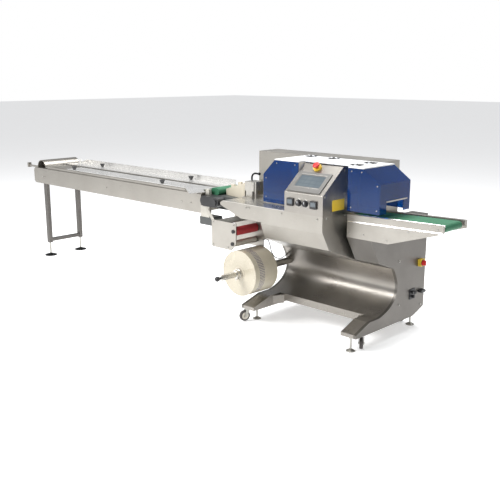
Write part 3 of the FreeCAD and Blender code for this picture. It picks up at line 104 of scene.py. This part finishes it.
def cloud_group():
    """Colour that drifts softly between a base and a shade, with the drift as a mask."""
    tree, given, out = group("cloudy colour", [("Vector", "Vector"), ("Base", "Color"), ("Shade", "Color"),
                                               ("Scale", "Float"), ("Amount", "Float")],
                             [("Color", "Color"), ("Mask", "Float")])
    noise = add(tree, "ShaderNodeTexNoise", {"Vector": given["Vector"], "Scale": given["Scale"],
                                             "Detail": 5.0, "Roughness": 0.6})
    spread = add(tree, "ShaderNodeMapRange", {"Value": noise.outputs[0], "From Min": 0.32, "From Max": 0.68})
    share = add(tree, "ShaderNodeMath", {0: spread.outputs[0], 1: given["Amount"]}, operation="MULTIPLY")
    mix = tree.nodes.new("ShaderNodeMix")
    mix.data_type = "RGBA"
    tree.links.new(share.outputs[0], mix.inputs[0])
    tree.links.new(given["Base"], mix.inputs[6])
    tree.links.new(given["Shade"], mix.inputs[7])
    tree.links.new(mix.outputs[2], out["Color"])
    tree.links.new(spread.outputs[0], out["Mask"])
    return tree


def grain_group():
    """Fine lines drawn out along one direction, as a height and as a roughness between two values."""
    tree, given, out = group("drawn grain", [("Vector", "Vector"), ("Stretch", "Vector"), ("Low", "Float"),
                                             ("High", "Float")],
                             [("Height", "Float"), ("Roughness", "Float")])
    drawn = add(tree, "ShaderNodeVectorMath", {0: given["Vector"], 1: given["Stretch"]}, operation="MULTIPLY")
    fine = add(tree, "ShaderNodeTexNoise", {"Vector": drawn.outputs[0], "Scale": 1.0, "Detail": 3.0})
    broad = add(tree, "ShaderNodeTexNoise", {"Vector": given["Vector"], "Scale": 5.0, "Detail": 4.0})
    both = add(tree, "ShaderNodeMath", {0: fine.outputs[0], 1: broad.outputs[0]}, operation="ADD")
    rough = add(tree, "ShaderNodeMapRange", {"Value": both.outputs[0], "From Min": 0.7, "From Max": 1.3,
                                             "To Min": given["Low"], "To Max": given["High"]})
    tree.links.new(fine.outputs[0], out["Height"])
    tree.links.new(rough.outputs[0], out["Roughness"])
    return tree


CLOUD = cloud_group()
GRAIN = grain_group()


def surface(name, base, shade, rough, metallic=0.0, stretch=(900, 900, 900), scale=4.0, amount=0.5, bump=0.03,
            depth=0.0004, coat=0.0):
    """Finish with cloudy colour, a drawn or even grain, roughness between two values and a slight relief."""
    made = bpy.data.materials.new(name)
    made.use_nodes = True
    tree = made.node_tree
    shader = tree.nodes["Principled BSDF"]
    place = add(tree, "ShaderNodeTexCoord").outputs["Object"]
    cloud = add(tree, "ShaderNodeGroup", node_tree=CLOUD)
    grain = add(tree, "ShaderNodeGroup", node_tree=GRAIN)
    for piece in (cloud, grain):
        tree.links.new(place, piece.inputs["Vector"])
    cloud.inputs["Base"].default_value = (*base, 1)
    cloud.inputs["Shade"].default_value = (*shade, 1)
    cloud.inputs["Scale"].default_value = scale
    cloud.inputs["Amount"].default_value = amount
    grain.inputs["Stretch"].default_value = stretch
    grain.inputs["Low"].default_value = rough[0]
    grain.inputs["High"].default_value = rough[1]
    relief = add(tree, "ShaderNodeBump", {"Strength": bump, "Distance": depth, "Height": grain.outputs["Height"]})
    tree.links.new(cloud.outputs["Color"], shader.inputs["Base Color"])
    tree.links.new(grain.outputs["Roughness"], shader.inputs["Roughness"])
    tree.links.new(relief.outputs["Normal"], shader.inputs["Normal"])
    shader.inputs["Metallic"].default_value = metallic
    shader.inputs["Coat Weight"].default_value = coat
    return made


def recolour(made, colour_of):
    """Puts a further pattern over a finish: colour_of(tree, place, colour) returns the new colour output."""
    tree = made.node_tree
    shader = tree.nodes["Principled BSDF"]
    link = shader.inputs["Base Color"].links[0]
    before = link.from_socket
    place = next(n for n in tree.nodes if n.type == "TEX_COORD").outputs["Object"]
    tree.links.new(colour_of(tree, place, before), shader.inputs["Base Color"])
    return made


def blend_colour(tree, mask, colour, over):
    """Mix of two colours by a mask."""
    mix = tree.nodes.new("ShaderNodeMix")
    mix.data_type = "RGBA"
    tree.links.new(mask, mix.inputs[0])
    tree.links.new(colour, mix.inputs[6])
    if isinstance(over, bpy.types.NodeSocket):
        tree.links.new(over, mix.inputs[7])
    else:
        mix.inputs[7].default_value = (*over, 1)
    return mix.outputs[2]


# ---- finishes ---------------------------------------------------------------------------------------------
steel_along = surface("steel brushed along", (0.40, 0.38, 0.345), (0.30, 0.28, 0.25), (0.26, 0.42), 0.9,
                      stretch=(14, 700, 1500), amount=0.45, bump=0.10)
steel_up = surface("steel brushed upright", (0.36, 0.34, 0.31), (0.24, 0.22, 0.20), (0.24, 0.40), 0.9,
                   stretch=(1300, 1300, 10), scale=2.2, amount=0.6, bump=0.10)
steel_deck = surface("steel deck", (0.60, 0.585, 0.55), (0.47, 0.45, 0.41), (0.20, 0.34), 0.9,
                     stretch=(12, 1400, 900), scale=5.0, amount=0.5, bump=0.08)
plate_bright = surface("slide plate", (0.86, 0.85, 0.83), (0.72, 0.71, 0.68), (0.18, 0.34), 0.75,
                       stretch=(8, 1200, 900), scale=6.0, amount=0.4, bump=0.06)
steel_dark = surface("oiled steel", (0.13, 0.125, 0.12), (0.06, 0.055, 0.05), (0.3, 0.5), 0.85, scale=40,
                     amount=0.8, bump=0.15)
# Darker copy of the upright brushed steel for the end plates and the rear body: painted shade on the faces turned away
# from the key light.
steel_end_painted_shade = surface("steel end sheet painted shade", (0.19, 0.18, 0.165), (0.13, 0.12, 0.11), (0.30, 0.46), 0.9,
                      stretch=(1300, 1300, 10), scale=2.2, amount=0.6, bump=0.10)
# Dark steel for the infeed's leg frame: painted shade, darker than the other steel to stand in for the shadow on the
# legs.
steel_leg_painted_shade = surface("leg tube steel painted shade", (0.16, 0.15, 0.14), (0.10, 0.095, 0.09), (0.34, 0.5), 0.85,
                    stretch=(900, 900, 12), scale=6.0, amount=0.6, bump=0.10)
grey_bezel = surface("grey bezel", (0.17, 0.165, 0.155), (0.13, 0.125, 0.12), (0.35, 0.5), scale=30, bump=0.15)
feet_zinc = surface("zinc feet", (0.50, 0.49, 0.46), (0.30, 0.29, 0.26), (0.22, 0.42), 0.9, scale=60, amount=0.6)
zinc = surface("zinc plated", (0.50, 0.49, 0.46), (0.30, 0.29, 0.26), (0.22, 0.42), 0.95, scale=60, amount=0.6)
white_paint = surface("white powder coat", (0.86, 0.87, 0.88), (0.76, 0.77, 0.79), (0.34, 0.46),
                      stretch=(500, 500, 500), scale=3.0, amount=0.4, bump=0.12, coat=0.1)
blue_window = surface("deep blue acrylic", (0.0, 0.045, 0.24), (0.0, 0.09, 0.36), (0.04, 0.10), scale=2.4,
                      amount=0.7, stretch=(60, 60, 60), bump=0.02, coat=0.5)
blue_window.node_tree.nodes["Principled BSDF"].inputs["Transmission Weight"].default_value = 0.7
blue_window.node_tree.nodes["Principled BSDF"].inputs["IOR"].default_value = 1.2
black = surface("black moulding", (0.018, 0.018, 0.020), (0.035, 0.034, 0.034), (0.34, 0.52),
                stretch=(1400, 1400, 1400), scale=30, bump=0.2)
dark_paint = surface("dark enamel", (0.045, 0.05, 0.05), (0.09, 0.09, 0.085), (0.3, 0.48), scale=12, bump=0.15)
yellow = surface("yellow moulding", (0.80, 0.56, 0.05), (0.70, 0.46, 0.04), (0.3, 0.42), scale=25, bump=0.12)
red = surface("red moulding", (0.62, 0.03, 0.03), (0.48, 0.02, 0.02), (0.22, 0.34), scale=25, bump=0.1, coat=0.3)
casting = surface("pale casting", (0.50, 0.48, 0.43), (0.36, 0.34, 0.30), (0.4, 0.6), 0.35,
                  stretch=(350, 350, 350), scale=14, amount=0.8, bump=0.4)
beige = surface("beige enamel", (0.58, 0.53, 0.43), (0.44, 0.39, 0.30), (0.3, 0.45), scale=9, amount=0.6, bump=0.12)
belt_green = surface("green belt", (0.02, 0.13, 0.06), (0.035, 0.19, 0.10), (0.5, 0.72), scale=7, amount=0.8,
                     stretch=(420, 900, 420), bump=0.5)
roller_red = surface("red rubber", (0.40, 0.03, 0.035), (0.28, 0.02, 0.025), (0.42, 0.6), scale=22, amount=0.7,
                     stretch=(300, 30, 300), bump=0.2)
roller_pale = surface("pale roller", (0.66, 0.62, 0.54), (0.48, 0.44, 0.37), (0.3, 0.45), 0.3, scale=18,
                      stretch=(500, 20, 500), bump=0.12)
tread = surface("caster tread", (0.05, 0.045, 0.045), (0.10, 0.085, 0.08), (0.5, 0.75), scale=50, amount=0.8, bump=0.3)
cable_black = surface("cable sheath", (0.014, 0.014, 0.015), (0.03, 0.03, 0.03), (0.4, 0.55), scale=90)
glass_grey = surface("screen glass", (0.12, 0.145, 0.16), (0.07, 0.09, 0.105), (0.06, 0.12), scale=5, amount=0.8,
                     stretch=(20, 20, 20), bump=0.01, coat=0.5)
film_wound = surface("wound film", (0.56, 0.51, 0.40), (0.44, 0.39, 0.29), (0.16, 0.3), scale=6, amount=0.6,
                     stretch=(30, 900, 30), bump=0.1, coat=0.4)


def film_pattern(tree, place, colour):
    """Rings of wound layers on the ends, and rows of plain dark lozenges round the outside."""
    low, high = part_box("film_roll")
    mid = [(a + b) / 2 for a, b in zip(low, high)]
    local = add(tree, "ShaderNodeVectorMath", {0: place, 1: mid}, operation="SUBTRACT").outputs[0]
    split = add(tree, "ShaderNodeSeparateXYZ", {0: local}).outputs
    flat = add(tree, "ShaderNodeCombineXYZ", {0: split[0], 2: split[2]}).outputs[0]
    radius = add(tree, "ShaderNodeVectorMath", {0: flat}, operation="LENGTH").outputs["Value"]
    layers = add(tree, "ShaderNodeMath", {0: radius, 1: 1900.0}, operation="MULTIPLY").outputs[0]
    wave = add(tree, "ShaderNodeMath", {0: layers}, operation="SINE").outputs[0]
    drift = add(tree, "ShaderNodeTexNoise", {"Vector": add(tree, "ShaderNodeCombineXYZ", {0: radius}).outputs[0],
                                             "Scale": 160.0, "Detail": 4.0}).outputs[0]
    thick = add(tree, "ShaderNodeMath", {0: wave, 1: drift}, operation="MULTIPLY").outputs[0]
    ring_mask = add(tree, "ShaderNodeMapRange", {"Value": thick, "From Min": 0.1, "From Max": 0.6,
                                                 "To Max": 0.45}).outputs[0]
    ringed = blend_colour(tree, ring_mask, colour, (0.20, 0.18, 0.15))
    angle = add(tree, "ShaderNodeMath", {0: split[2], 1: split[0]}, operation="ARCTAN2").outputs[0]
    turns = add(tree, "ShaderNodeMath", {0: angle, 1: 44 / (2 * math.pi)}, operation="MULTIPLY").outputs[0]
    rows = add(tree, "ShaderNodeMath", {0: split[1], 1: 62.0}, operation="MULTIPLY").outputs[0]
    parts = []
    for value in (turns, rows):
        wrapped = add(tree, "ShaderNodeMath", {0: value, 1: 0.5}, operation="PINGPONG").outputs[0]
        parts.append(add(tree, "ShaderNodeMath", {0: wrapped, 1: 0.25}, operation="SUBTRACT").outputs[0])
    sizes = [add(tree, "ShaderNodeMath", {0: part}, operation="ABSOLUTE").outputs[0] for part in parts]
    total = add(tree, "ShaderNodeMath", {0: sizes[0], 1: sizes[1]}, operation="ADD").outputs[0]
    shape = add(tree, "ShaderNodeMath", {0: total, 1: 0.19}, operation="LESS_THAN").outputs[0]
    offset = add(tree, "ShaderNodeMath", {0: split[1], 1: 0.040}, operation="ADD").outputs[0]
    aside = add(tree, "ShaderNodeMath", {0: offset}, operation="ABSOLUTE").outputs[0]
    band = add(tree, "ShaderNodeMath", {0: aside, 1: 0.024}, operation="LESS_THAN").outputs[0]
    lozenge = add(tree, "ShaderNodeMath", {0: shape, 1: band}, operation="MULTIPLY").outputs[0]
    printed = blend_colour(tree, lozenge, colour, (0.045, 0.05, 0.16))
    facing = add(tree, "ShaderNodeSeparateXYZ", {0: add(tree, "ShaderNodeNewGeometry").outputs["Normal"]}).outputs[1]
    sideways = add(tree, "ShaderNodeMath", {0: facing}, operation="ABSOLUTE").outputs[0]
    end_mask = add(tree, "ShaderNodeMath", {0: sideways, 1: 0.7}, operation="GREATER_THAN").outputs[0]
    return blend_colour(tree, end_mask, printed, ringed)


recolour(film_wound, film_pattern)


def lever_pattern(tree, place, colour):
    """Black hand lever above the steel sealing block."""
    height = add(tree, "ShaderNodeSeparateXYZ", {0: place}).outputs[2]
    above = add(tree, "ShaderNodeMath", {0: height, 1: 0.921}, operation="GREATER_THAN").outputs[0]
    return blend_colour(tree, above, colour, (0.015, 0.015, 0.015))


def pad_pattern(tree, place, colour):
    """Black moulded pads under the infeed's legs, below their threaded stems."""
    split = add(tree, "ShaderNodeSeparateXYZ", {0: place}).outputs
    low = add(tree, "ShaderNodeMath", {0: split[2], 1: 0.022}, operation="LESS_THAN").outputs[0]
    left = add(tree, "ShaderNodeMath", {0: split[0], 1: float(at(-2800, 0, 0)[0])}, operation="LESS_THAN").outputs[0]
    both = add(tree, "ShaderNodeMath", {0: low, 1: left}, operation="MULTIPLY").outputs[0]
    return blend_colour(tree, both, colour, (0.012, 0.012, 0.012))


recolour(feet_zinc, pad_pattern)
seal_steel = recolour(surface("sealing block steel", (0.52, 0.50, 0.46), (0.36, 0.34, 0.30), (0.25, 0.4), 0.85,
                              stretch=(700, 700, 30), scale=10, amount=0.6, bump=0.1), lever_pattern)


def screen_pattern(tree, place, colour):
    """Rows of plain tiles with thin gaps, as an idle control page shows."""
    tiles = tree.nodes.new("ShaderNodeTexBrick")
    tiles.offset = 0.0
    for key, value in (("Scale", 18.0), ("Mortar Size", 0.03), ("Brick Width", 0.8), ("Row Height", 0.4)):
        tiles.inputs[key].default_value = value
    tree.links.new(place, tiles.inputs["Vector"])
    return blend_colour(tree, tiles.outputs["Fac"], colour, (0.085, 0.105, 0.12))


recolour(glass_grey, screen_pattern)


# ---- finishes on the solids -----------------------------------------------------------------------------
FINISHES = {
    steel_up: ("pedestal", "foot_beams", "control_head"),
    steel_end_painted_shade: ("end_plates", "rear_body"),
    steel_leg_painted_shade: ("leg_frame",),
    grey_bezel: ("touch_screen",),
    feet_zinc: ("levelling_feet",),
    steel_along: ("upper_body", "bed", "discharge_sides", "rear_cabinet", "infeed_side_panels", "infeed_frame",
                  "tail_hood", "film_bracket", "end_seal_unit", "spindle_housing"),
    steel_deck: ("bed_top_plate", "roll_spindle"),
    plate_bright: ("infeed_plates", "flared_plate", "guide_board"),
    steel_dark: ("pusher_chain",),
    zinc: ("cable_glands", "front_left_fork", "front_right_fork", "rear_left_fork",
           "rear_right_fork"),
    white_paint: ("top_cover", "left_guard_top", "right_guard_top"),
    blue_window: ("left_guard_panel", "right_guard_panel"),
    black: ("infeed_knobs", "guard_hinges", "transfer_housing", "spindle_knob", "outlet_fitting", "head_buttons"),
    dark_paint: ("transfer_frame", "drive_box"),
    yellow: ("stop_ring", "isolator_box"),
    red: ("stop_button", "isolator_knob"),
    casting: ("transfer_bracket",),
    beige: ("former",),
    belt_green: ("discharge_belt", "transfer_roller"),
    roller_red: ("red_roller",),
    roller_pale: ("guide_roller",),
    tread: ("front_left_wheel", "front_right_wheel", "rear_left_wheel", "rear_right_wheel"),
    film_wound: ("film_roll",),
    seal_steel: ("fin_seal_unit",),
}
for finish, names in FINISHES.items():
    for name in names:
        slots = NODES[name].material_slots
        if not slots:
            NODES[name].data.materials.append(finish)
        for slot in slots:
            slot.material = finish


# ---- mesh helpers ------------------------------------------------------------------------------------------
def piece(name, points, faces, finish, slot, body="machine", smooth=True):
    """Mesh object from arrays of points and faces, with its finish, riding on a body."""
    mesh = bpy.data.meshes.new(name)
    mesh.from_pydata([tuple(p) for p in points], [], [tuple(int(i) for i in f) for f in faces])
    mesh.validate()
    mesh.materials.append(finish)
    made = bpy.data.objects.new(name, mesh)
    bpy.context.collection.objects.link(made)
    if smooth:
        mesh.shade_smooth()
        mesh.set_sharp_from_angle(angle=math.radians(35))
    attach(made, body)
    return made


def across(axis):
    """Two unit vectors at right angles to an axis and to each other, in right-handed order with it."""
    axis = np.array(axis, float) / np.linalg.norm(axis)
    other = np.array((0, 0, 1.0)) if abs(axis[2]) < 0.9 else np.array((1.0, 0, 0))
    first = np.cross(other, axis)
    first /= np.linalg.norm(first)
    return first, np.cross(axis, first), axis


def turned(profile, places, steps=24):
    """Surfaces of revolution: each profile row (radius, height) swept round, point = place + r cos u + r sin u + h axis.

    The first and last rows are closed with a flat cap. Lengths are in millimetres, places are (point, axis).
    """
    profile = np.array(profile, float) / 1000
    rows = len(profile)
    angle = np.arange(steps) * 2 * math.pi / steps
    points, faces = [], []
    for place, axis in places:
        first, second, along = across(axis)
        ring = np.outer(np.cos(angle), first) + np.outer(np.sin(angle), second)
        grid = place + profile[:, :1, None] * ring[None] + profile[:, 1:, None] * along
        start = len(points)
        points += list(grid.reshape(-1, 3))
        for row in range(rows - 1):
            for k in range(steps):
                a, b = start + row * steps + k, start + row * steps + (k + 1) % steps
                faces.append((a, b, b + steps, a + steps))
        faces.append([start + k for k in reversed(range(steps))])
        faces.append([start + (rows - 1) * steps + k for k in range(steps)])
    return points, faces


def bolt_profile(radius, height):
    """Rows of a low domed screw head with a socket in it."""
    return [(radius, 0), (radius, 0.55 * height), (0.86 * radius, 0.92 * height), (0.5 * radius, height),
            (0.46 * radius, height), (0.44 * radius, 0.45 * height)]


def soft_plate(centre, u, v, half_u, half_v, corner, height, bevel=0.6, steps=6):
    """Plate with round corners and a rolled edge: rings of a rounded rectangle, pulled in by the edge's arc."""
    u, v = np.array(u, float), np.array(v, float)
    normal = np.cross(u, v)
    quarter = np.linspace(0, math.pi / 2, steps)
    rolls = [(0, 0)] + [(bevel * (1 - math.cos(t)), height - bevel + bevel * math.sin(t)) for t in quarter]
    rolls += [(bevel + corner * 0.5, height)]
    points, faces = [], []
    for inset, lift in rolls:
        for k, (su, sv) in enumerate(((1, 1), (-1, 1), (-1, -1), (1, -1))):
            for t in quarter + k * math.pi / 2:
                radius = max(corner - inset, 0.05)
                du = su * (half_u - corner) + radius * math.cos(t) - (su * max(inset - corner, 0))
                dv = sv * (half_v - corner) + radius * math.sin(t) - (sv * max(inset - corner, 0))
                points.append(centre + (u * du + v * dv + normal * lift) / 1000)
    count = 4 * steps
    for row in range(len(rolls) - 1):
        for k in range(count):
            a, b = row * count + k, row * count + (k + 1) % count
            faces.append((a, b, b + count, a + count))
    faces.append(list(reversed(range(count))))
    faces.append([(len(rolls) - 1) * count + k for k in range(count)])
    return points, faces


def merged(parts):
    """Several point and face lists as one."""
    points, faces = [], []
    for some, shape in parts:
        faces += [[i + len(points) for i in face] for face in shape]
        points += list(some)
    return points, faces


# ---- control head details ----------------------------------------------------------------------------------
SLOPE_LENGTH = math.hypot(155, 187)
SLOPE_UP = np.array((0, 187, 155)) / SLOPE_LENGTH
SLOPE_OUT = np.array((0, -155, 187)) / SLOPE_LENGTH
RIGHT = np.array((1.0, 0, 0))
UP = np.array((0, 0, 1.0))
BACK = np.array((0, 1.0, 0))


def slope(x, run, proud):
    """Point over the sloping panel of the control head: along x, up from its knee, proud of it."""
    return at(x, -340, 926) + (SLOPE_UP * run + SLOPE_OUT * proud) / 1000


piece("screen_glass", *soft_plate(slope(73, 98, 4.5), RIGHT, SLOPE_UP, 93, 45, 3, 0.8), glass_grey, "screen")
piece("screen_rim_line", *merged([
    soft_plate(slope(73, 152, 6), RIGHT, SLOPE_UP, 96, 1.5, 1.2, 0.6),
    soft_plate(slope(73, 46, 6), RIGHT, SLOPE_UP, 96, 1.5, 1.2, 0.6)]), zinc, "stainless")
piece("display_windows", *merged([
    soft_plate(at(x, -350, 872), RIGHT, UP, 19, 13, 2, 0.8) for x in (-17, 162)]), glass_grey, "screen")
piece("head_side_plate", *soft_plate(at(229, -194, 860), BACK, UP, 58, 33, 4, 1.4), yellow, "yellow_plastic")
piece("knob_marks", *merged([
    soft_plate(at(x, -360, 876), RIGHT, UP, 1.3, 7, 1, 0.5) for x in (50, 101)]), white_paint, "white_cover")
piece("button_collars", *turned([(25, 0), (25, 1.6), (24, 2.2), (21.5, 2.2), (21.2, 0.2)],
                                [(at(x, -340, 869), (0, -1, 0)) for x in (50, 101)], 40), zinc, "stainless")

# ---- screws and bolts -----------------------------------------------------------------------------------------
SCREWS = [
    ((229, -138, 1059), (1, 0, 0)), ((229, -131, 925), (1, 0, 0)), ((229, -322, 920), (1, 0, 0)),
    ((229, -300, 790), (1, 0, 0)), ((229, -125, 791), (1, 0, 0)),
    ((-391, -340, 787), (0, -1, 0)), ((-368, -340, 787), (0, -1, 0)), ((-90, -340, 787), (0, -1, 0)),
    ((190, -340, 787), (0, -1, 0)), ((-1169, -210, 722), (0, -1, 0)), ((-1067, -210, 722), (0, -1, 0)),
    ((-3030, -210, 722), (0, -1, 0)), ((-3070, -210, 722), (0, -1, 0)), ((-2100, -210, 722), (0, -1, 0)),
    ((438, 168, 486), (1, 0, 0)), ((438, 182, 201), (1, 0, 0)), ((438, 440, 640), (1, 0, 0)),
    ((438, 150, 640), (1, 0, 0)), ((438, 440, 150), (1, 0, 0)),
    ((-480, 168, 486), (-1, 0, 0)), ((-480, 182, 201), (-1, 0, 0)), ((-480, 440, 640), (-1, 0, 0)),
    ((-480, 440, 150), (-1, 0, 0)),
]
piece("panel_bolts", *turned(bolt_profile(6.5, 4), [(at(*p), n) for p, n in SCREWS]), zinc, "stainless")
PLATE_SCREWS = [(x, y, 825) for x in (-2640, -2100, -1600, -1160) for y in (-200, -75)]
PLATE_SCREWS += [(x, y, 825) for x in (-2960, -2400, -1850, -1300, -1000) for y in (12, 104)]
DECK_SCREWS = [(x, y, 808) for x in (-585, -90) for y in (-325, 90)] + [(-340, -325, 808)]
piece("plate_screws", *turned(bolt_profile(4.5, 1.6), [(at(*p), (0, 0, 1)) for p in PLATE_SCREWS + DECK_SCREWS], 18),
      zinc, "stainless")
REAR_SCREWS = [(x, 301, z) for x in (-680, -350, -20, 305) for z in (830, 1070)]
piece("rear_screws", *turned(bolt_profile(6, 3), [(at(*p), (0, 1, 0)) for p in REAR_SCREWS]), zinc, "stainless")
FILM_SCREWS = [(-700, 498), (-700, 655), (-505, 655), (-560, 500)]
piece("rear_doors", *merged([
    soft_plate(at(x, 301, 950), -RIGHT, UP, 150, 122, 8, 2.0) for x in (-515, -185, 145)]), steel_along, "stainless")
piece("film_bracket_screws", *turned(bolt_profile(6, 4), [(at(x, -340, z), (0, -1, 0)) for x, z in FILM_SCREWS]),
      zinc, "stainless")
piece("roller_retainers", *merged([
    turned([(13, 0), (13, 2.4), (12, 3), (8, 3), (7.6, 1.2)], [(at(x, -343, z), (0, -1, 0))], 32)
    for x, z in ((-508, 612), (-516, 528))]), black, "black_plastic")
DISCHARGE_SCREWS = [(300, 700), (400, 700), (560, 690), (700, 760), (880, 800)]
piece("discharge_screws", *turned(bolt_profile(5.5, 3), [(at(x, -172, z), (0, -1, 0)) for x, z in DISCHARGE_SCREWS]),
      zinc, "stainless")
HINGE_SCREWS = [(x + dx, y, 1100.2) for x in (-195, -11) for dx in (-16, 16) for y in (46, 85)]
piece("cover_hinge_screws", *turned(bolt_profile(3.2, 1.2), [(at(*p), (0, 0, 1)) for p in HINGE_SCREWS if p[1] > 65],
                                    16), zinc, "stainless")
piece("left_guard_screws", *turned(bolt_profile(3.2, 1.2), [(at(*p), (0, 0, 1)) for p in HINGE_SCREWS if p[1] < 65],
                                   16), zinc, "stainless", "left_guard")
RIGHT_HINGE_SCREWS = [(320, y + dy, 1100.2) for y in (-118, 18) for dy in (-16, 16)]
piece("right_guard_screws", *turned(bolt_profile(3.2, 1.2), [(at(*p), (0, 0, 1)) for p in RIGHT_HINGE_SCREWS], 16),
      zinc, "stainless", "right_guard")

# ---- guard fittings -----------------------------------------------------------------------------------------------
piece("left_hinge_plates", *merged([
    soft_plate(at(x, 46, 1098), RIGHT, BACK, 26, 15, 3, 2.4) for x in (-195, -11)]), black, "black_plastic",
      "left_guard")
piece("right_hinge_plates", *merged([
    soft_plate(at(320, y, 1098), RIGHT, BACK, 15, 26, 3, 2.4) for y in (-118, 18)]), black, "black_plastic",
      "right_guard")
piece("left_fixed_plates", *merged([
    soft_plate(at(x, 85, 1098), RIGHT, BACK, 26, 13, 3, 2.4) for x in (-195, -11)]), black, "black_plastic")
piece("right_fixed_plates", *merged([
    soft_plate(at(281, y, 1098), RIGHT, BACK, 13, 26, 3, 2.4) for y in (-118, 18)]), black, "black_plastic")
GUARD_SCREWS = {"left_guard": [(-340, 850), (-340, 970), (-250, 1070), (-100, 1070), (-100, 850)],
                "right_guard": [(330, 1070), (400, 1070), (510, 1000), (510, 860), (330, 860)]}
for guard, places in GUARD_SCREWS.items():
    piece(guard + "_front_screws", *turned(bolt_profile(4, 2), [(at(x, -208, z), (0, -1, 0)) for x, z in places], 18),
          zinc, "stainless", guard)
piece("exit_lip", *soft_plate(at(530, -35, 906), BACK, UP, 108, 4, 2, 1.2), zinc, "stainless", "right_guard")

# ---- wheels ------------------------------------------------------------------------------------------------------
for corner in ("front_left", "front_right", "rear_left", "rear_right"):
    low, high = (np.array(c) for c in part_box(corner + "_wheel"))
    roll = next(j for j in frame["record"]["behaviour"]["joints"] if j["name"] == corner + "_roll")
    axle, middle = np.array(roll["axis"], float), (low + high) / 2
    hub = [(24, 11.0), (24, 11.4), (20, 11.9), (14, 11.9), (13, 11.2), (7, 11.2), (6.5, 12.3), (4.3, 12.3)]
    piece(corner + "_hub_caps", *turned(hub, [(middle, axle), (middle, -axle)], 40), roller_pale, "pale_roller",
          corner + "_wheel")

# ---- film core and end face ---------------------------------------------------------------------------------------
piece("core_ring", *turned([(46, 0), (46, 1.2), (44, 1.8), (39, 1.8), (38.2, 0.4)],
                           [(at(-455, -340, 341), (0, -1, 0))], 64), beige, "film", "film_roll")

# ---- conveyor details -----------------------------------------------------------------------------------------------


def lip_section(x, top):
    """Bevelled cover of the discharge's near edge at one x: outer foot, outer top, inner top and inner foot."""
    return [at(x, -172, top - 46), at(x, -175, top - 44), at(x, -151, top + 1.5), at(x, -147, top - 4)]


lip_points = lip_section(283, 809) + lip_section(600, 817) + lip_section(913, 825)
lip_faces = [(a + k, a + (k + 1) % 4, a + 4 + (k + 1) % 4, a + 4 + k) for a in (0, 4) for k in range(4)]
lip_faces += [(3, 2, 1, 0), (8, 9, 10, 11)]
# The lip takes the bright slide-plate finish while the discharge sides below keep the duller brushed steel: a painted
# highlight on the lit top edge of the near side.
lip = piece("discharge_lip", lip_points, lip_faces, plate_bright, "stainless", smooth=False)
lip_edge = lip.modifiers.new("edge", "BEVEL")
lip_edge.width = 0.0012
lip_edge.segments = 2
piece("belt_joint", *soft_plate(at(560, -35, 814.8), RIGHT, BACK, 2.5, 104, 1, 0.5), dark_paint, "green_belt")
LINKS = np.arange(-2990, -1120, 38.1)
piece("chain_links", *merged([
    soft_plate(at(x, -30, 818), RIGHT, BACK, 15, 8, 6, 1.6, steps=4) for x in LINKS]), zinc, "chain")
piece("switch_ring", *turned([(21, 0), (21, 0.8), (20, 1.2), (18, 1.2), (17.6, 0.2)],
                             [(at(460, 407, 439), (1, 0, 0))], 48), black, "black_plastic")

# ---- cable -----------------------------------------------------------------------------------------------------------
CABLE_START = (-452, -107, 533)
CABLE_STEPS = ((0, 0, 0), (0, 24, 0), (1, 44, -14), (1, 57, -38), (1, 65, -68), (1, 76, -100), (2, 96, -130),
               (2, 128, -152), (2, 164, -161), (2, 196, -157), (2, 222, -147))
cable_points = [at(*(a + b for a, b in zip(CABLE_START, step))) for step in CABLE_STEPS]
line = bpy.data.curves.new("sensor_cable_line", "CURVE")
line.dimensions = "3D"
spline = line.splines.new("NURBS")
spline.points.add(len(cable_points) - 1)
for point, place in zip(spline.points, cable_points):
    point.co = (*place, 1)
spline.order_u = 3
spline.use_endpoint_u = True
spline.resolution_u = 12
line.bevel_depth = 0.003
line.bevel_resolution = 5
line.use_fill_caps = True
line.materials.append(cable_black)
cable = bpy.data.objects.new("sensor_cable_line", line)
bpy.context.collection.objects.link(cable)
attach(cable, "machine")
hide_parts("sensor_cable")

# ---- floor, light and background ----------------------------------------------------------------------------------------
floor_mesh = bpy.data.meshes.new("floor")
FLOOR = 40.0
floor_mesh.from_pydata([(-FLOOR, -FLOOR, 0), (FLOOR, -FLOOR, 0), (FLOOR, FLOOR, 0), (-FLOOR, FLOOR, 0)], [],
                       [(0, 1, 2, 3)])
floor = bpy.data.objects.new("floor", floor_mesh)
bpy.context.collection.objects.link(floor)
floor_finish = surface("studio floor", (0.93, 0.93, 0.93), (0.90, 0.90, 0.90), (0.7, 0.9), scale=0.6, amount=0.4,
                       bump=0.0)
floor_finish.node_tree.nodes["Principled BSDF"].inputs["Emission Color"].default_value = (1, 1, 1, 1)
floor_finish.node_tree.nodes["Principled BSDF"].inputs["Emission Strength"].default_value = 0.42
floor_mesh.materials.append(floor_finish)

world = bpy.data.worlds.new("studio")
bpy.context.scene.world = world
world.use_nodes = True
sky = world.node_tree
background = sky.nodes["Background"]
rays = add(sky, "ShaderNodeLightPath")
tone = blend_colour(sky, rays.outputs["Is Camera Ray"], add(sky, "ShaderNodeRGB").outputs[0], (1.0, 1.0, 1.0))
next(n for n in sky.nodes if n.type == "RGB").outputs[0].default_value = (0.36, 0.365, 0.375, 1)
sky.links.new(tone, background.inputs["Color"])


def area_light(name, place, target, power, size):
    """Square soft light at a place, aimed at a target."""
    data = bpy.data.lights.new(name, "AREA")
    data.energy = power
    data.size = size
    lamp = bpy.data.objects.new(name, data)
    lamp.location = place
    lamp.rotation_euler = (Vector(target) - Vector(place)).to_track_quat("-Z", "Y").to_euler()
    bpy.context.collection.objects.link(lamp)


area_light("key_light", (-1.5, -4.5, 4.5), (0.6, 0, 0.7), 400, 3.0)
area_light("top_light", (0.5, 1.0, 5.0), (0.5, 0, 0.8), 300, 4.0)
area_light("side_light", (5.5, -0.5, 2.6), (1.2, 0, 0.7), 14, 2.0)

scene = bpy.context.scene
scene.view_settings.view_transform = "Standard"
